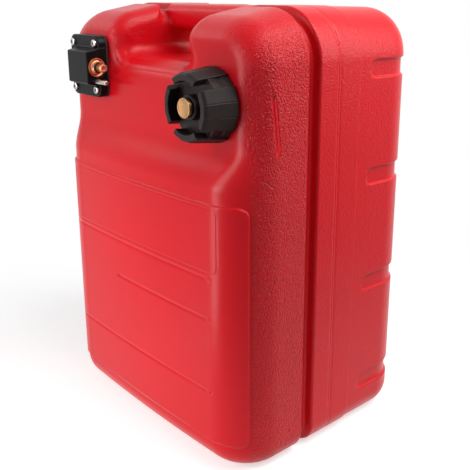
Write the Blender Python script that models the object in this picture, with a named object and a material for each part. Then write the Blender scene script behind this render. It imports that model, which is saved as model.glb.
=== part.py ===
"""Portable outboard fuel tank: a blow-moulded shell with carry handle, screw cap with vent,
and a four-screw fuel connector with its pick-up tube.

Metres, +Z up. The tank stands on its end: the filler and the connector face -Y, the carry
handle is on top, and the origin is on the floor at the middle of the shell.
"""
import bmesh
import bpy
from math import cos, hypot, pi, radians, sin, sqrt
from mathutils import Matrix, Vector

# Clearances and overruns
FIT = 0.0003
OVERRUN = 0.004

# Tank shell, overall
WIDTH = 0.340
DEPTH = 0.265
HEIGHT = 0.470
WALL = 0.0040

# Tank shell, corner radii of the outline and of its top and bottom edges
FRONT_CORNER_R = 0.050
UPPER_CORNER_R = 0.036
BACK_CORNER_R = 0.046
BOTTOM_EDGE_R = 0.022
TOP_SIDE_R = 0.045
TOP_FRONT_R = 0.020
BACK_EDGE_R = 0.030
LEAST_R = 0.004

# Tank shell, recessed upper front wall above its shoulder
SHOULDER_BELOW_TOP = 0.127
SHOULDER_RISE = 0.043
RECESS = 0.0225
FACE_CROWN = 0.0028
HUMP_FALL = 0.014
FALL_BELOW_TOP = 0.075

# Tank shell, raised lower front panel with its moulded lines
PANEL_LIFT = 0.0012
PANEL_SINK = 0.0020
PANEL_LOW = 0.030
PANEL_BELOW_SHOULDER = 0.011
PANEL_WRAP = 0.0245
PANEL_CORNER_R = 0.008
LINE_HEIGHT_SHARES = (0.187, 0.358, 0.450)
LINE_START_SHARES = (-0.42, -0.12, -0.42)
LINE_END_INSET = 0.052
LINE_WIDTH = 0.0030
LINE_DEPTH = 0.0014

# Tank shell, groove, rear step and wrap-round slots
GROOVE_FRONT = -0.0420
GROOVE_WIDTH = 0.0150
GROOVE_DEPTH = 0.0080
GROOVE_SLOPE = 0.0030
STEP_PLACE = 0.0320
STEP_DEPTH = 0.0010
SLOT_HEIGHT = 0.0180
SLOT_DEPTH = 0.0026
SLOT_START = 0.0560
SLOT_REACH = 0.0600
SLOT_HEIGHT_SHARES = (0.105, 0.365, 0.625, 0.868)

# Tank shell, valley between the humps and the carry handle across it
VALLEY_WIDTH = 0.120
VALLEY_DEPTH = 0.056
VALLEY_TOP_R = 0.018
VALLEY_FOOT_R = 0.012
VALLEY_EDGE_R = 0.018
VALLEY_LIP_R = 0.030
BAR_FRONT = -0.0360
BAR_DEPTH = 0.0400
BAR_HEIGHT = 0.0270
BAR_R = 0.0120
BAR_BELOW_TOP = 0.0006

# Filler neck
NECK_INSET = 0.058
NECK_BELOW_TOP = 0.090
NECK_BORE_R = 0.0215
NECK_WALL = 0.0045
NECK_LENGTH = 0.0160

# Screw cap
CAP_TURN_GAP = 0.0005
CAP_BASE_R = 0.0360
CAP_FRONT_R = 0.0315
CAP_LENGTH = 0.0360
CAP_DISC = 0.0026
CAP_RIM_SHARE = 0.34
CAP_BODY_R = 0.0302
LUG_COUNT = 4
LUG_SPAN_SHARE = 0.64
LUG_THICKNESS = 0.0062
LUG_STEP = 0.0016
GASKET_THICKNESS = 0.0016
LINER_THICKNESS = 0.0018
LINER_HOLE_R = 0.0085

# Cap vent
BOSS_R = 0.0118
BOSS_LENGTH = 0.0086
BUSH_R = 0.0060
BUSH_BORE_R = 0.0034
BUSH_BEHIND = 0.0020
VENT_HEAD_R = 0.0094
VENT_HEAD = 0.0034
VENT_RIM = 0.0014
VENT_RIM_DEPTH = 0.0008
VENT_STEM_R = 0.0030
VENT_WASHER_R = 0.0078
VENT_WASHER = 0.0012
VENT_LIFT = 0.0015
STOP_RING = 0.0012
STOP_RING_R = 0.0058
STOP_RING_PLAY = 0.0010

# Fuel connector
CONNECTOR_INSET = 0.062
CONNECTOR_BELOW_TOP = 0.069
FLANGE_WIDTH = 0.062
FLANGE_HEIGHT = 0.068
FLANGE_THICKNESS = 0.009
FLANGE_CORNER_R = 0.009
FLANGE_EDGE_R = 0.0012
CONNECTOR_GASKET = 0.0020
BLOCK_WIDTH = 0.043
BLOCK_HEIGHT = 0.042
BLOCK_LENGTH = 0.0155
BLOCK_TAPER = 0.0035
BLOCK_EDGE_R = 0.0015
SPIGOT_R = 0.0050
SPIGOT_LENGTH = 0.0300
PASSAGE_R = 0.0028
PORT_R = 0.0150
PLUG_LENGTH = 0.0080

# Flange screws and their moulded-in inserts
SCREW_SPACING_X = 0.047
SCREW_SPACING_Z = 0.051
SCREW_HEAD_R = 0.0043
SCREW_HEAD = 0.0026
SCREW_SHANK_R = 0.0020
SCREW_SOCKET_R = 0.0019
SCREW_SOCKET = 0.0014
INSERT_WALL = 0.0019
INSERT_LENGTH = 0.0090

# Fuel nipple with its check valve, and the locating pin
NIPPLE_FORWARD = 0.0140
SOCKET_R = 0.0108
SOCKET_DEPTH = 0.0150
NIPPLE_SET_BACK = 0.0030
NIPPLE_CONE_R = 0.0060
NIPPLE_CONE = 0.0030
NIPPLE_STEM_R = 0.0046
NIPPLE_WAIST_R = 0.0038
NIPPLE_WAIST = 0.0040
NIPPLE_REACH = 0.0140
NIPPLE_TIP_R = 0.0040
NIPPLE_BORE_R = 0.0032
NIPPLE_MOUTH_R = 0.0019
NIPPLE_MOUTH = 0.0020
SEAL_WIRE_R = 0.0010
PLUNGER_R = 0.0015
PLUNGER_FLANGE_R = 0.0028
PLUNGER_FLANGE = 0.0020
SPRING_WIRE_R = 0.00035
SPRING_R = 0.0022
SPRING_TURNS = 6
SPRING_LENGTH = 0.0100
SPRING_SEAT_R = 0.0018
PIN_R = 0.0025
PIN_LENGTH = 0.0330
PIN_SEAT = 0.0100
PIN_BELOW = 0.0150
PIN_FORWARD = 0.0028
PIN_CHAMFER = 0.0007

# Pick-up tube and strainer
TUBE_WALL = 0.0015
TUBE_GRIP = 0.0120
TUBE_BACK_GAP = 0.0240
STRAINER_R = 0.0090
STRAINER_LENGTH = 0.0260
STRAINER_FOOT_GAP = 0.0040
STRAINER_WINDOWS = 6
STRAINER_WINDOW_SHARE = 0.55

# Facets
ARC_STEPS = 7
INNER_ARC_STEPS = 4
SMALL_ARC_STEPS = 4
SPRING_POINTS = 8
ROUND_SIDES = 32
SMALL_SIDES = 16
SMOOTH_ANGLE = radians(32)
FLAT_SHARE = 1e-4

# Planes that several pieces share
FRONT_Y = -DEPTH / 2
BACK_Y = DEPTH / 2
FRONT_FLAT_Y = FRONT_Y + FACE_CROWN + PANEL_LIFT
UPPER_Y = FRONT_Y + RECESS
SHOULDER_HIGH = HEIGHT - SHOULDER_BELOW_TOP
SHOULDER_LOW = SHOULDER_HIGH - SHOULDER_RISE
FALL_START = HEIGHT - FALL_BELOW_TOP
PANEL_HIGH = SHOULDER_LOW - PANEL_BELOW_SHOULDER
LINE_END = WIDTH / 2 - LINE_END_INSET
VALLEY_FLOOR = HEIGHT - VALLEY_DEPTH
NECK_X = WIDTH / 2 - NECK_INSET
NECK_Z = HEIGHT - NECK_BELOW_TOP
CONNECTOR_X = CONNECTOR_INSET - WIDTH / 2
CONNECTOR_Z = HEIGHT - CONNECTOR_BELOW_TOP
BAR_BACK = BAR_FRONT + BAR_DEPTH
BAR_ROOT = VALLEY_TOP_R + BAR_BELOW_TOP
NECK_R = NECK_BORE_R + NECK_WALL
NECK_END_Y = UPPER_Y - NECK_LENGTH
GASKET_FRONT_Y = NECK_END_Y - FIT - GASKET_THICKNESS
LINER_BACK_Y = GASKET_FRONT_Y - FIT
LINER_FRONT_Y = LINER_BACK_Y - LINER_THICKNESS
CAP_INNER_Y = LINER_FRONT_Y - FIT
CAP_DISC_Y = CAP_INNER_Y - CAP_DISC
CAP_BASE_Y = UPPER_Y - CAP_TURN_GAP
BOSS_END_Y = CAP_DISC_Y - BOSS_LENGTH
FLANGE_BACK_Y = UPPER_Y - CONNECTOR_GASKET - 2 * FIT
FLANGE_FRONT_Y = FLANGE_BACK_Y - FLANGE_THICKNESS
BLOCK_FRONT_Y = FLANGE_FRONT_Y - BLOCK_LENGTH
BLOCK_SIDE_X = CONNECTOR_X + FLANGE_WIDTH / 2
NIPPLE_Y = UPPER_Y - NIPPLE_FORWARD
NIPPLE_SEAT_X = BLOCK_SIDE_X - SOCKET_DEPTH
NIPPLE_BASE_X = BLOCK_SIDE_X - NIPPLE_SET_BACK


# Scene and materials

def clear_scene():
    """Remove every object of the opened file."""
    for item in list(bpy.data.objects):
        bpy.data.objects.remove(item, do_unlink=True)


def material(name, color, roughness, metallic=0.0):
    """Return a Principled material with one colour."""
    made = bpy.data.materials.new(name)
    made.use_nodes = True
    shader = made.node_tree.nodes["Principled BSDF"]
    shader.inputs["Base Color"].default_value = (*color, 1.0)
    shader.inputs["Roughness"].default_value = roughness
    shader.inputs["Metallic"].default_value = metallic
    made.diffuse_color = (*color, 1.0)
    return made


def red_plastic():
    """Return the tank's red polyethylene."""
    return material("red_polyethylene", (0.60, 0.010, 0.018), 0.38)


def black_plastic():
    """Return the black moulded plastic of the cap and the connector."""
    return material("black_plastic", (0.020, 0.017, 0.017), 0.42)


def black_rubber():
    """Return the rubber of gaskets and seals."""
    return material("black_rubber", (0.012, 0.012, 0.012), 0.75)


def brass():
    """Return turned brass."""
    return material("brass", (0.62, 0.38, 0.16), 0.30, 1.0)


def steel():
    """Return bright stainless steel."""
    return material("stainless_steel", (0.70, 0.69, 0.67), 0.22, 1.0)


def clear_tube():
    """Return the pick-up tube's pale polymer."""
    return material("natural_polymer", (0.62, 0.58, 0.50), 0.45)


# Mesh building

def mesh_object(name, points, faces, finish=None, cutter=False):
    """Make an object from points and faces, smooth shaded with sharp edges kept."""
    mesh = bpy.data.meshes.new(name)
    mesh.from_pydata([tuple(point) for point in points], [], faces)
    split_bent_faces(mesh)
    mesh.shade_smooth()
    mesh.set_sharp_from_angle(angle=SMOOTH_ANGLE)
    made = bpy.data.objects.new(name, mesh)
    bpy.context.scene.collection.objects.link(made)
    if finish:
        mesh.materials.append(finish)
    if cutter:
        made.hide_render = True
        made.display_type = "WIRE"
    return made


def split_bent_faces(mesh):
    """Triangulate the faces that aren't flat, so that cuts through them stay exact."""
    work = bmesh.new()
    work.from_mesh(mesh)
    bent = []
    for face in work.faces:
        middle = face.calc_center_median()
        off = max(abs((corner.co - middle).dot(face.normal)) for corner in face.verts)
        if len(face.verts) > 3 and off > FLAT_SHARE * sqrt(face.calc_area()):
            bent.append(face)
    bmesh.ops.triangulate(work, faces=bent)
    work.to_mesh(mesh)
    work.free()


def skin(rings, closed=False):
    """Join rings of equal count into faces, with a face at each end unless it is closed."""
    count = len(rings[0])
    points = [point for ring in rings for point in ring]
    faces = []
    spans = len(rings) if closed else len(rings) - 1
    for level in range(spans):
        low = level * count
        high = ((level + 1) % len(rings)) * count
        for place in range(count):
            after = (place + 1) % count
            faces.append((low + place, low + after, high + after, high + place))
    if not closed:
        faces.append(tuple(range(count))[::-1])
        faces.append(tuple(len(points) - count + place for place in range(count)))
    return points, outward(points, faces)


def outward(points, faces):
    """Return the faces turned so that the solid they close has a positive volume."""
    volume = 0.0
    for face in faces:
        first = Vector(points[face[0]])
        for near, far in zip(face[1:-1], face[2:]):
            volume += first.dot(Vector(points[near]).cross(Vector(points[far])))
    return [face[::-1] for face in faces] if volume < 0 else faces


def joined(solids):
    """Return the points and faces of several separate solids as one list."""
    points, faces = [], []
    for solid_points, solid_faces in solids:
        shift = len(points)
        points.extend(solid_points)
        faces.extend(tuple(shift + place for place in face) for face in solid_faces)
    return points, faces


def turned(profile, frame, sides):
    """Turn a closed profile of (radius, along) points round the frame's Z axis."""
    rings = []
    for step in range(sides):
        angle = 2 * pi * step / sides
        rings.append([frame @ Vector((radius * cos(angle), radius * sin(angle), along))
                      for radius, along in profile])
    return skin(rings, closed=True)


def rod(radius, start, end, frame, sides):
    """Return a plain cylinder along the frame's Z axis."""
    rings = []
    for along in (start, end):
        rings.append([frame @ Vector((radius * cos(2 * pi * step / sides),
                                      radius * sin(2 * pi * step / sides), along))
                      for step in range(sides)])
    return skin(rings)


def spun_rod(profile, frame, sides):
    """Return a solid of revolution from an open profile of (radius, along) points."""
    rings = []
    for radius, along in profile:
        rings.append([frame @ Vector((radius * cos(2 * pi * step / sides),
                                      radius * sin(2 * pi * step / sides), along))
                      for step in range(sides)])
    return skin(rings)


def boolean(target, tool, operation="DIFFERENCE", solver="EXACT"):
    """Give the target a Boolean with the tool, which stays a hidden guide."""
    made = target.modifiers.new(f"{operation.lower()}_{tool.name}", "BOOLEAN")
    made.operation = operation
    made.object = tool
    made.solver = solver
    tool.hide_render = True
    tool.display_type = "WIRE"


def shell_cut(target, tool, operation="DIFFERENCE"):
    """Give one of the shell's large forms a Boolean that keeps it closed."""
    boolean(target, tool, operation, "MANIFOLD")


def guide(name, solid):
    """Make a hidden cutter or tool object from points and faces."""
    return mesh_object(name, *solid, cutter=True)


def facing(x, y, z, direction):
    """Return a frame at a point whose Z axis has the given direction."""
    turn = Vector((0, 0, 1)).rotation_difference(Vector(direction))
    return Matrix.Translation((x, y, z)) @ turn.to_matrix().to_4x4()


def on_filler(y=0.0):
    """Return the filler's frame: Z runs out of the tank, towards -Y."""
    return facing(NECK_X, y, NECK_Z, (0, -1, 0))


def on_nipple():
    """Return the nipple's frame: Z runs out of the connector's side, towards +X."""
    return facing(0.0, NIPPLE_Y, CONNECTOR_Z, (1, 0, 0))


def place_origin(made, point):
    """Move an object's origin to a world point and leave its mesh where it is."""
    shift = Vector(point)
    made.data.transform(Matrix.Translation(-shift))
    made.location = shift


def arc(cx, cy, radius, start, end, steps):
    """Return points on a circle from one angle to another, ends included."""
    return [(cx + radius * cos(start + (end - start) * step / steps),
             cy + radius * sin(start + (end - start) * step / steps)) for step in range(steps + 1)]


def rounded_box(width, height, radius, steps):
    """Return the outline of a rounded rectangle about the origin, anticlockwise."""
    half_w, half_h = width / 2 - radius, height / 2 - radius
    corners = ((half_w, half_h, 0), (-half_w, half_h, 1), (-half_w, -half_h, 2), (half_w, -half_h, 3))
    outline = []
    for cx, cy, quarter in corners:
        outline += arc(cx, cy, radius, quarter * pi / 2, (quarter + 1) * pi / 2, steps)
    return outline


def quarter_drop(distance, radius):
    """Return how far a quarter-round edge has fallen at a distance from its start."""
    if distance >= radius:
        return 0.0
    run = radius - max(distance, 0.0)
    return radius - sqrt(max(radius * radius - run * run, 0.0))


# Tank shell outline

def shoulder_share(z):
    """Return 0 on the lower front, 1 on the recessed upper wall, smooth between."""
    along = (z - SHOULDER_LOW) / (SHOULDER_HIGH - SHOULDER_LOW)
    return (1 - cos(pi * min(max(along, 0.0), 1.0))) / 2


def top_fall(y, z):
    """Return how far the humps' tops slope down towards the front."""
    back = (BAR_FRONT - y) / (BAR_FRONT - UPPER_Y)
    up = (z - FALL_START) / (HEIGHT - FALL_START)
    return HUMP_FALL * min(max(back, 0.0), 1.0) * min(max(up, 0.0), 1.0)


class Level:
    """The shell's outline at one height, inset by a distance."""

    def __init__(self, z, inset, steps=ARC_STEPS):
        share = shoulder_share(z)
        above = HEIGHT - inset - z
        below = z - inset
        bottom = quarter_drop(below, BOTTOM_EDGE_R - inset)
        side = max(quarter_drop(above, TOP_SIDE_R - inset), bottom)
        front = max(quarter_drop(above, TOP_FRONT_R - inset), bottom)
        back = max(quarter_drop(above, BACK_EDGE_R - inset), bottom)
        corner = FRONT_CORNER_R + (UPPER_CORNER_R - FRONT_CORNER_R) * share
        self.z = z
        self.steps = steps
        self.half = WIDTH / 2 - inset - side
        self.front = FRONT_FLAT_Y + (UPPER_Y - FRONT_FLAT_Y) * share + inset + front
        self.back = BACK_Y - inset - back
        self.front_r = max(corner - inset - max(side, front), LEAST_R)
        self.back_r = max(BACK_CORNER_R - inset - max(side, back), LEAST_R)
        self.crown = FACE_CROWN * (1 - share)

    def front_run(self, start_y):
        """Return the outline from the right side, round the front, to the left side."""
        reach = self.half - self.front_r
        centre = self.front + self.front_r
        points = [(self.half, start_y), (self.half, BAR_FRONT)]
        points += arc(reach, centre, self.front_r, 0, -pi / 2, self.steps)
        for step in range(1, self.steps):
            x = reach * (1 - 2 * step / self.steps)
            points.append((x, self.front - self.crown * (1 - (x / reach) ** 2)))
        points += arc(-reach, centre, self.front_r, -pi / 2, -pi, self.steps)
        points += [(-self.half, BAR_FRONT), (-self.half, start_y)]
        return points

    def back_run(self, start_y):
        """Return the outline from the left side, round the back, to the right side."""
        reach = self.half - self.back_r
        centre = self.back - self.back_r
        points = [(-self.half, start_y)]
        points += arc(-reach, centre, self.back_r, pi, pi / 2, self.steps)
        points += arc(reach, centre, self.back_r, pi / 2, 0, self.steps)
        points.append((self.half, start_y))
        return points

    def ring(self):
        """Return the whole outline as points at this height."""
        flat = self.front_run(0.0) + self.back_run(0.0)[1:-1]
        return [(x, y, self.z - top_fall(y, self.z)) for x, y in flat]


def levels(inset, steps):
    """Return the heights at which the shell's outline is taken."""
    low, high = inset, HEIGHT - inset
    bottom_r, top_r = BOTTOM_EDGE_R - inset, TOP_SIDE_R - inset
    quarter = [pi / 2 * step / steps for step in range(steps + 1)]
    rises = [low + bottom_r * (1 - cos(angle)) for angle in quarter]
    shoulder = [SHOULDER_LOW + (SHOULDER_HIGH - SHOULDER_LOW) * step / steps
                for step in range(steps + 1)]
    tops = [high - top_r + top_r * sin(angle) for angle in quarter]
    return rises + shoulder + [FALL_START] + tops


def shell_loft(inset, steps):
    """Return the shell's closed form, inset by a distance, with its top laid in cross strips."""
    rings = [Level(z, inset, steps).ring() for z in levels(inset, steps)]
    points, faces = skin(rings)
    count = len(rings[0])
    top = len(points) - count
    faces = [face for face in faces if min(face) < top]
    front = len(Level(HEIGHT / 2, inset, steps).front_run(0.0))
    rows = [(place, front - 1 - place) for place in range((front - 1) // 2, -1, -1)]
    rows += [(count - place, front - 1 + place) for place in range(1, (count - front) // 2 + 1)]
    for (right, left), (next_right, next_left) in zip(rows, rows[1:]):
        corners = dict.fromkeys((left, right, next_right, next_left))
        faces.append(tuple(top + corner for corner in corners))
    return points, outward(points, faces)


def side_offsets(points):
    """Return unit directions square to an open run of points, to its left."""
    square = []
    for place in range(len(points)):
        before = points[max(place - 1, 0)]
        after = points[min(place + 1, len(points) - 1)]
        dx, dy = after[0] - before[0], after[1] - before[1]
        length = hypot(dx, dy)
        square.append((-dy / length, dx / length))
    return square


def strip(path, middle_z, half_height, end_r, inner, outer):
    """Return a band that follows a path, from an inner to an outer offset, with round ends."""
    directions = side_offsets(path)
    travelled = [0.0]
    for near, far in zip(path, path[1:]):
        travelled.append(travelled[-1] + hypot(far[0] - near[0], far[1] - near[1]))
    rings = []
    for (x, y), (nx, ny), along in zip(path, directions, travelled):
        loss = quarter_drop(min(along, travelled[-1] - along), end_r)
        tall = half_height - min(loss, half_height - FIT)
        rings.append([(x + nx * reach, y + ny * reach, middle_z + tall * way)
                      for reach, way in ((inner, -1), (outer, -1), (outer, 1), (inner, 1))])
    return skin(rings)


def refined(path, start_r):
    """Return a path with close steps at both ends, so that a band's ends come out round."""
    shares = [1 - cos(pi / 2 * step / SMALL_ARC_STEPS) for step in range(SMALL_ARC_STEPS)]
    steps = []
    for (x0, y0), (x1, y1) in ((path[0], path[1]), (path[-1], path[-2])):
        length = hypot(x1 - x0, y1 - y0)
        steps.append([(x0 + (x1 - x0) * share * start_r / length,
                       y0 + (y1 - y0) * share * start_r / length) for share in shares])
    return steps[0] + path[1:-1] + steps[1][::-1]


def panel_pad():
    """Return the raised lower front panel that wraps both front corners."""
    middle = (PANEL_LOW + PANEL_HIGH) / 2
    edge_y = FRONT_Y + PANEL_WRAP
    path = [point for point in Level(middle, 0.0).front_run(0.0) if point[1] <= edge_y]
    return strip(refined(path, PANEL_CORNER_R), middle, (PANEL_HIGH - PANEL_LOW) / 2,
                 PANEL_CORNER_R, -PANEL_SINK, PANEL_LIFT)


def panel_lines():
    """Return cutters for the panel's moulded lines, each with a round end."""
    solids = []
    for height_share, start_share in zip(LINE_HEIGHT_SHARES, LINE_START_SHARES):
        z = HEIGHT * height_share
        run = Level(z, 0.0)
        reach = run.half - run.front_r
        start = WIDTH * start_share
        path = []
        for step in range(2 * ARC_STEPS + 1):
            x = LINE_END + (start - LINE_END) * step / (2 * ARC_STEPS)
            past = max(abs(x) - reach, 0.0)
            round_back = run.front_r - sqrt(run.front_r ** 2 - past ** 2)
            crown = run.crown * max(1 - (x / reach) ** 2, 0.0)
            path.append((x, run.front - crown + round_back))
        solids.append(strip(refined(path, LINE_WIDTH / 2), z, LINE_WIDTH / 2, LINE_WIDTH / 2,
                            PANEL_LIFT - LINE_DEPTH, PANEL_LIFT + OVERRUN))
    return solids


def wrap_slots():
    """Return cutters for the slots that wrap both back corners."""
    solids = []
    for height_share in SLOT_HEIGHT_SHARES:
        z = HEIGHT * height_share
        run = Level(z, 0.0)
        reach = run.half - run.back_r
        centre = run.back - run.back_r
        for side in (1, -1):
            path = [(side * x, y) for x, y in
                    [(run.half, SLOT_START)] + arc(reach, centre, run.back_r, 0, pi / 2, ARC_STEPS)
                    + [(reach - SLOT_REACH, run.back)]]
            ordered = path if side < 0 else path[::-1]
            solids.append(strip(refined(ordered, SLOT_HEIGHT / 2), z, SLOT_HEIGHT / 2,
                                SLOT_HEIGHT / 2, -SLOT_DEPTH, OVERRUN))
    return solids


def end_outline(inset):
    """Return the shell's outline seen from the front, inset by a distance."""
    half = WIDTH / 2 - inset
    top, bottom = HEIGHT - inset, inset
    top_r = max(TOP_SIDE_R - inset, LEAST_R)
    bottom_r = max(BOTTOM_EDGE_R - inset, LEAST_R)
    outline = arc(half - top_r, top - top_r, top_r, 0, pi / 2, ARC_STEPS)
    outline += arc(-half + top_r, top - top_r, top_r, pi / 2, pi, ARC_STEPS)
    outline += arc(-half + bottom_r, bottom + bottom_r, bottom_r, pi, 3 * pi / 2, ARC_STEPS)
    outline += arc(half - bottom_r, bottom + bottom_r, bottom_r, 3 * pi / 2, 2 * pi, ARC_STEPS)
    return outline


def hoop(front, back, depth, slope):
    """Return a hoop round the shell that cuts to a depth between two planes."""
    outer = end_outline(-OVERRUN)
    inner = end_outline(depth)
    rings = []
    for (ox, oz), (ix, iz) in zip(outer, inner):
        rings.append([(ox, front, oz), (ox, back, oz), (ix, back - slope, iz), (ix, front, iz)])
    return skin(rings, closed=True)


def valley(grow):
    """Return the valley between the humps, grown by a distance, as a cutter."""
    front_end, back_end = UPPER_Y, BACK_Y
    quarter = [pi / 2 * step / ARC_STEPS for step in range(ARC_STEPS + 1)]
    lip, edge = VALLEY_LIP_R + grow, VALLEY_EDGE_R + grow
    stations = [front_end - RECESS - OVERRUN]
    stations += [front_end - grow + lip * (1 - cos(angle)) for angle in quarter]
    stations += [back_end + grow - lip * (1 - cos(angle)) for angle in reversed(quarter)]
    stations += [back_end + RECESS + OVERRUN]
    rings = []
    for y in stations:
        inside = min(y - front_end, back_end - y) + grow
        half = VALLEY_WIDTH / 2 + grow + quarter_drop(inside, edge)
        floor = VALLEY_FLOOR - grow - quarter_drop(inside, lip)
        rings.append(valley_outline(y, half, floor, grow))
    return skin(rings)


def valley_outline(y, half, floor, grow):
    """Return the valley's outline at one depth: open top edges rounded, round foot."""
    top = HEIGHT - grow - top_fall(y, HEIGHT)
    edge_r = VALLEY_TOP_R - grow
    foot_r = VALLEY_FOOT_R + grow
    left = [(-half - edge_r, HEIGHT + OVERRUN)]
    left += arc(-half - edge_r, top - edge_r, edge_r, pi / 2, 0, SMALL_ARC_STEPS)
    left += arc(-half + foot_r, floor + foot_r, foot_r, pi, 3 * pi / 2, SMALL_ARC_STEPS)
    outline = left + [(-x, z) for x, z in reversed(left)]
    return [(x, y, z) for x, z in outline]


def handle_bar(inset, root):
    """Return the grip across the valley, inset by a distance, rooted in both humps."""
    section = rounded_box(BAR_DEPTH - 2 * inset, BAR_HEIGHT - 2 * inset, BAR_R - inset, SMALL_ARC_STEPS)
    middle_y = (BAR_FRONT + BAR_BACK) / 2
    middle_z = HEIGHT - BAR_BELOW_TOP - BAR_HEIGHT / 2
    half = VALLEY_WIDTH / 2 + root
    return skin([[(x, middle_y + y, middle_z + z) for y, z in section] for x in (-half, half)])


def screw_places():
    """Return the centres of the four flange screws."""
    return [(CONNECTOR_X + way_x * SCREW_SPACING_X / 2, CONNECTOR_Z + way_z * SCREW_SPACING_Z / 2)
            for way_z in (1, -1) for way_x in (-1, 1)]


def insert_radius():
    """Return the outer radius of a moulded-in insert."""
    return SCREW_SHANK_R + FIT + INSERT_WALL


def shell_inside():
    """Return the tool that hollows the shell, with every outer form followed by the wall."""
    made = guide("shell_inside", shell_loft(WALL, INNER_ARC_STEPS))
    groove = hoop(GROOVE_FRONT - WALL, GROOVE_FRONT + GROOVE_WIDTH + WALL,
                  GROOVE_DEPTH + WALL, GROOVE_SLOPE)
    shell_cut(made, guide("groove_inside", groove))
    shell_cut(made, guide("valley_inside", valley(WALL)))
    shell_cut(made, guide("bar_inside", handle_bar(WALL, BAR_ROOT + WALL)), "UNION")
    return made


def tank_shell():
    """Make the blow-moulded shell with its handle, filler neck and connector port."""
    made = mesh_object("tank_shell", *shell_loft(0.0, ARC_STEPS), red_plastic())
    groove = hoop(GROOVE_FRONT, GROOVE_FRONT + GROOVE_WIDTH, GROOVE_DEPTH, GROOVE_SLOPE)
    step = hoop(STEP_PLACE, BACK_Y + OVERRUN, STEP_DEPTH, 0.0)
    shell_cut(made, guide("groove_cut", groove))
    shell_cut(made, guide("rear_step_cut", step))
    shell_cut(made, guide("panel_pad", panel_pad()), "UNION")
    shell_cut(made, guide("valley_cut", valley(0.0)))
    shell_cut(made, guide("handle_bar", handle_bar(0.0, BAR_ROOT)), "UNION")
    shell_cut(made, guide("line_and_slot_cuts", joined(panel_lines() + wrap_slots())))
    neck = rod(NECK_R, -UPPER_Y - WALL / 2, -NECK_END_Y, on_filler(), ROUND_SIDES)
    shell_cut(made, guide("neck", neck), "UNION")
    shell_cut(made, shell_inside())
    bores = [rod(NECK_BORE_R, -UPPER_Y - WALL - OVERRUN, -NECK_END_Y + OVERRUN, on_filler(), ROUND_SIDES)]
    bores.append(rod(PORT_R, -UPPER_Y - WALL - OVERRUN, -UPPER_Y + OVERRUN,
                     facing(CONNECTOR_X, 0.0, CONNECTOR_Z, (0, -1, 0)), ROUND_SIDES))
    for x, z in screw_places():
        bores.append(rod(insert_radius() + FIT, -UPPER_Y - WALL - OVERRUN, -UPPER_Y + OVERRUN,
                         facing(x, 0.0, z, (0, -1, 0)), SMALL_SIDES))
    shell_cut(made, guide("shell_bores", joined(bores)))
    return made


# Screw cap and vent

def lug(middle):
    """Return one grip lug as an upright block on the cap's rim, wider than its gap."""
    span = 2 * pi / LUG_COUNT * LUG_SPAN_SHARE
    rings = []
    for along, radius in ((FIT, CAP_BASE_R), (CAP_LENGTH, CAP_FRONT_R)):
        outer = [(radius, middle + span * (step / ARC_STEPS - 0.5)) for step in range(ARC_STEPS + 1)]
        inner = [(radius - LUG_THICKNESS, angle) for _, angle in reversed(outer)]
        rings.append([on_filler(CAP_BASE_Y) @ Vector((r * cos(a), r * sin(a), along))
                      for r, a in outer + inner])
    return skin(rings)


def cap_shell():
    """Make the cap: a skirt with four stepped grip lugs round a sunk face and a vent boss."""
    disc = CAP_BASE_Y - CAP_DISC_Y
    inner = CAP_BASE_Y - CAP_INNER_Y
    boss = CAP_BASE_Y - BOSS_END_Y
    rim = disc * CAP_RIM_SHARE
    bore_r = NECK_R + CAP_TURN_GAP
    hole_r = BUSH_R + FIT
    profile = [(hole_r, inner), (bore_r, inner), (bore_r, 0.0), (CAP_BASE_R - LUG_STEP, 0.0),
               (CAP_BASE_R - LUG_STEP, rim), (CAP_BODY_R, rim + LUG_STEP), (CAP_BODY_R, disc),
               (BOSS_R, disc), (BOSS_R, boss), (hole_r, boss)]
    made = mesh_object("cap_shell", *turned(profile, on_filler(CAP_BASE_Y), 2 * ROUND_SIDES),
                       black_plastic())
    for number in range(LUG_COUNT):
        middle = 2 * pi * number / LUG_COUNT
        boolean(made, guide(f"lug_{number + 1}", lug(middle)), "UNION")
    return made


def cap_liner():
    """Make the sealing disc that rides inside the cap."""
    profile = [(LINER_HOLE_R, -LINER_BACK_Y), (NECK_R, -LINER_BACK_Y),
               (NECK_R, -LINER_FRONT_Y), (LINER_HOLE_R, -LINER_FRONT_Y)]
    return mesh_object("cap_liner", *turned(profile, on_filler(), ROUND_SIDES), black_plastic())


def cap_gasket():
    """Make the flat seal between the neck's end and the liner."""
    back = NECK_END_Y - FIT
    profile = [(NECK_BORE_R, -back), (NECK_R, -back), (NECK_R, -GASKET_FRONT_Y),
               (NECK_BORE_R, -GASKET_FRONT_Y)]
    return mesh_object("cap_gasket", *turned(profile, on_filler(), ROUND_SIDES), black_rubber())


def vent_bush():
    """Make the brass bush in the cap's boss that the vent screw turns in."""
    start, end = -CAP_INNER_Y - BUSH_BEHIND, -BOSS_END_Y
    profile = [(BUSH_BORE_R, start), (BUSH_R, start), (BUSH_R, end), (BUSH_BORE_R, end)]
    return mesh_object("vent_bush", *turned(profile, on_filler(), SMALL_SIDES), brass())


def vent_washer():
    """Make the rubber washer under the vent screw's head."""
    start = -BOSS_END_Y + FIT
    profile = [(BUSH_BORE_R, start), (VENT_WASHER_R, start), (VENT_WASHER_R, start + VENT_WASHER),
               (BUSH_BORE_R, start + VENT_WASHER)]
    return mesh_object("vent_washer", *turned(profile, on_filler(), SMALL_SIDES), black_rubber())


def stop_ring_place():
    """Return where the vent screw's stop ring starts along the filler's axis."""
    return -CAP_INNER_Y - BUSH_BEHIND - VENT_LIFT - STOP_RING_PLAY - STOP_RING


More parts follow.
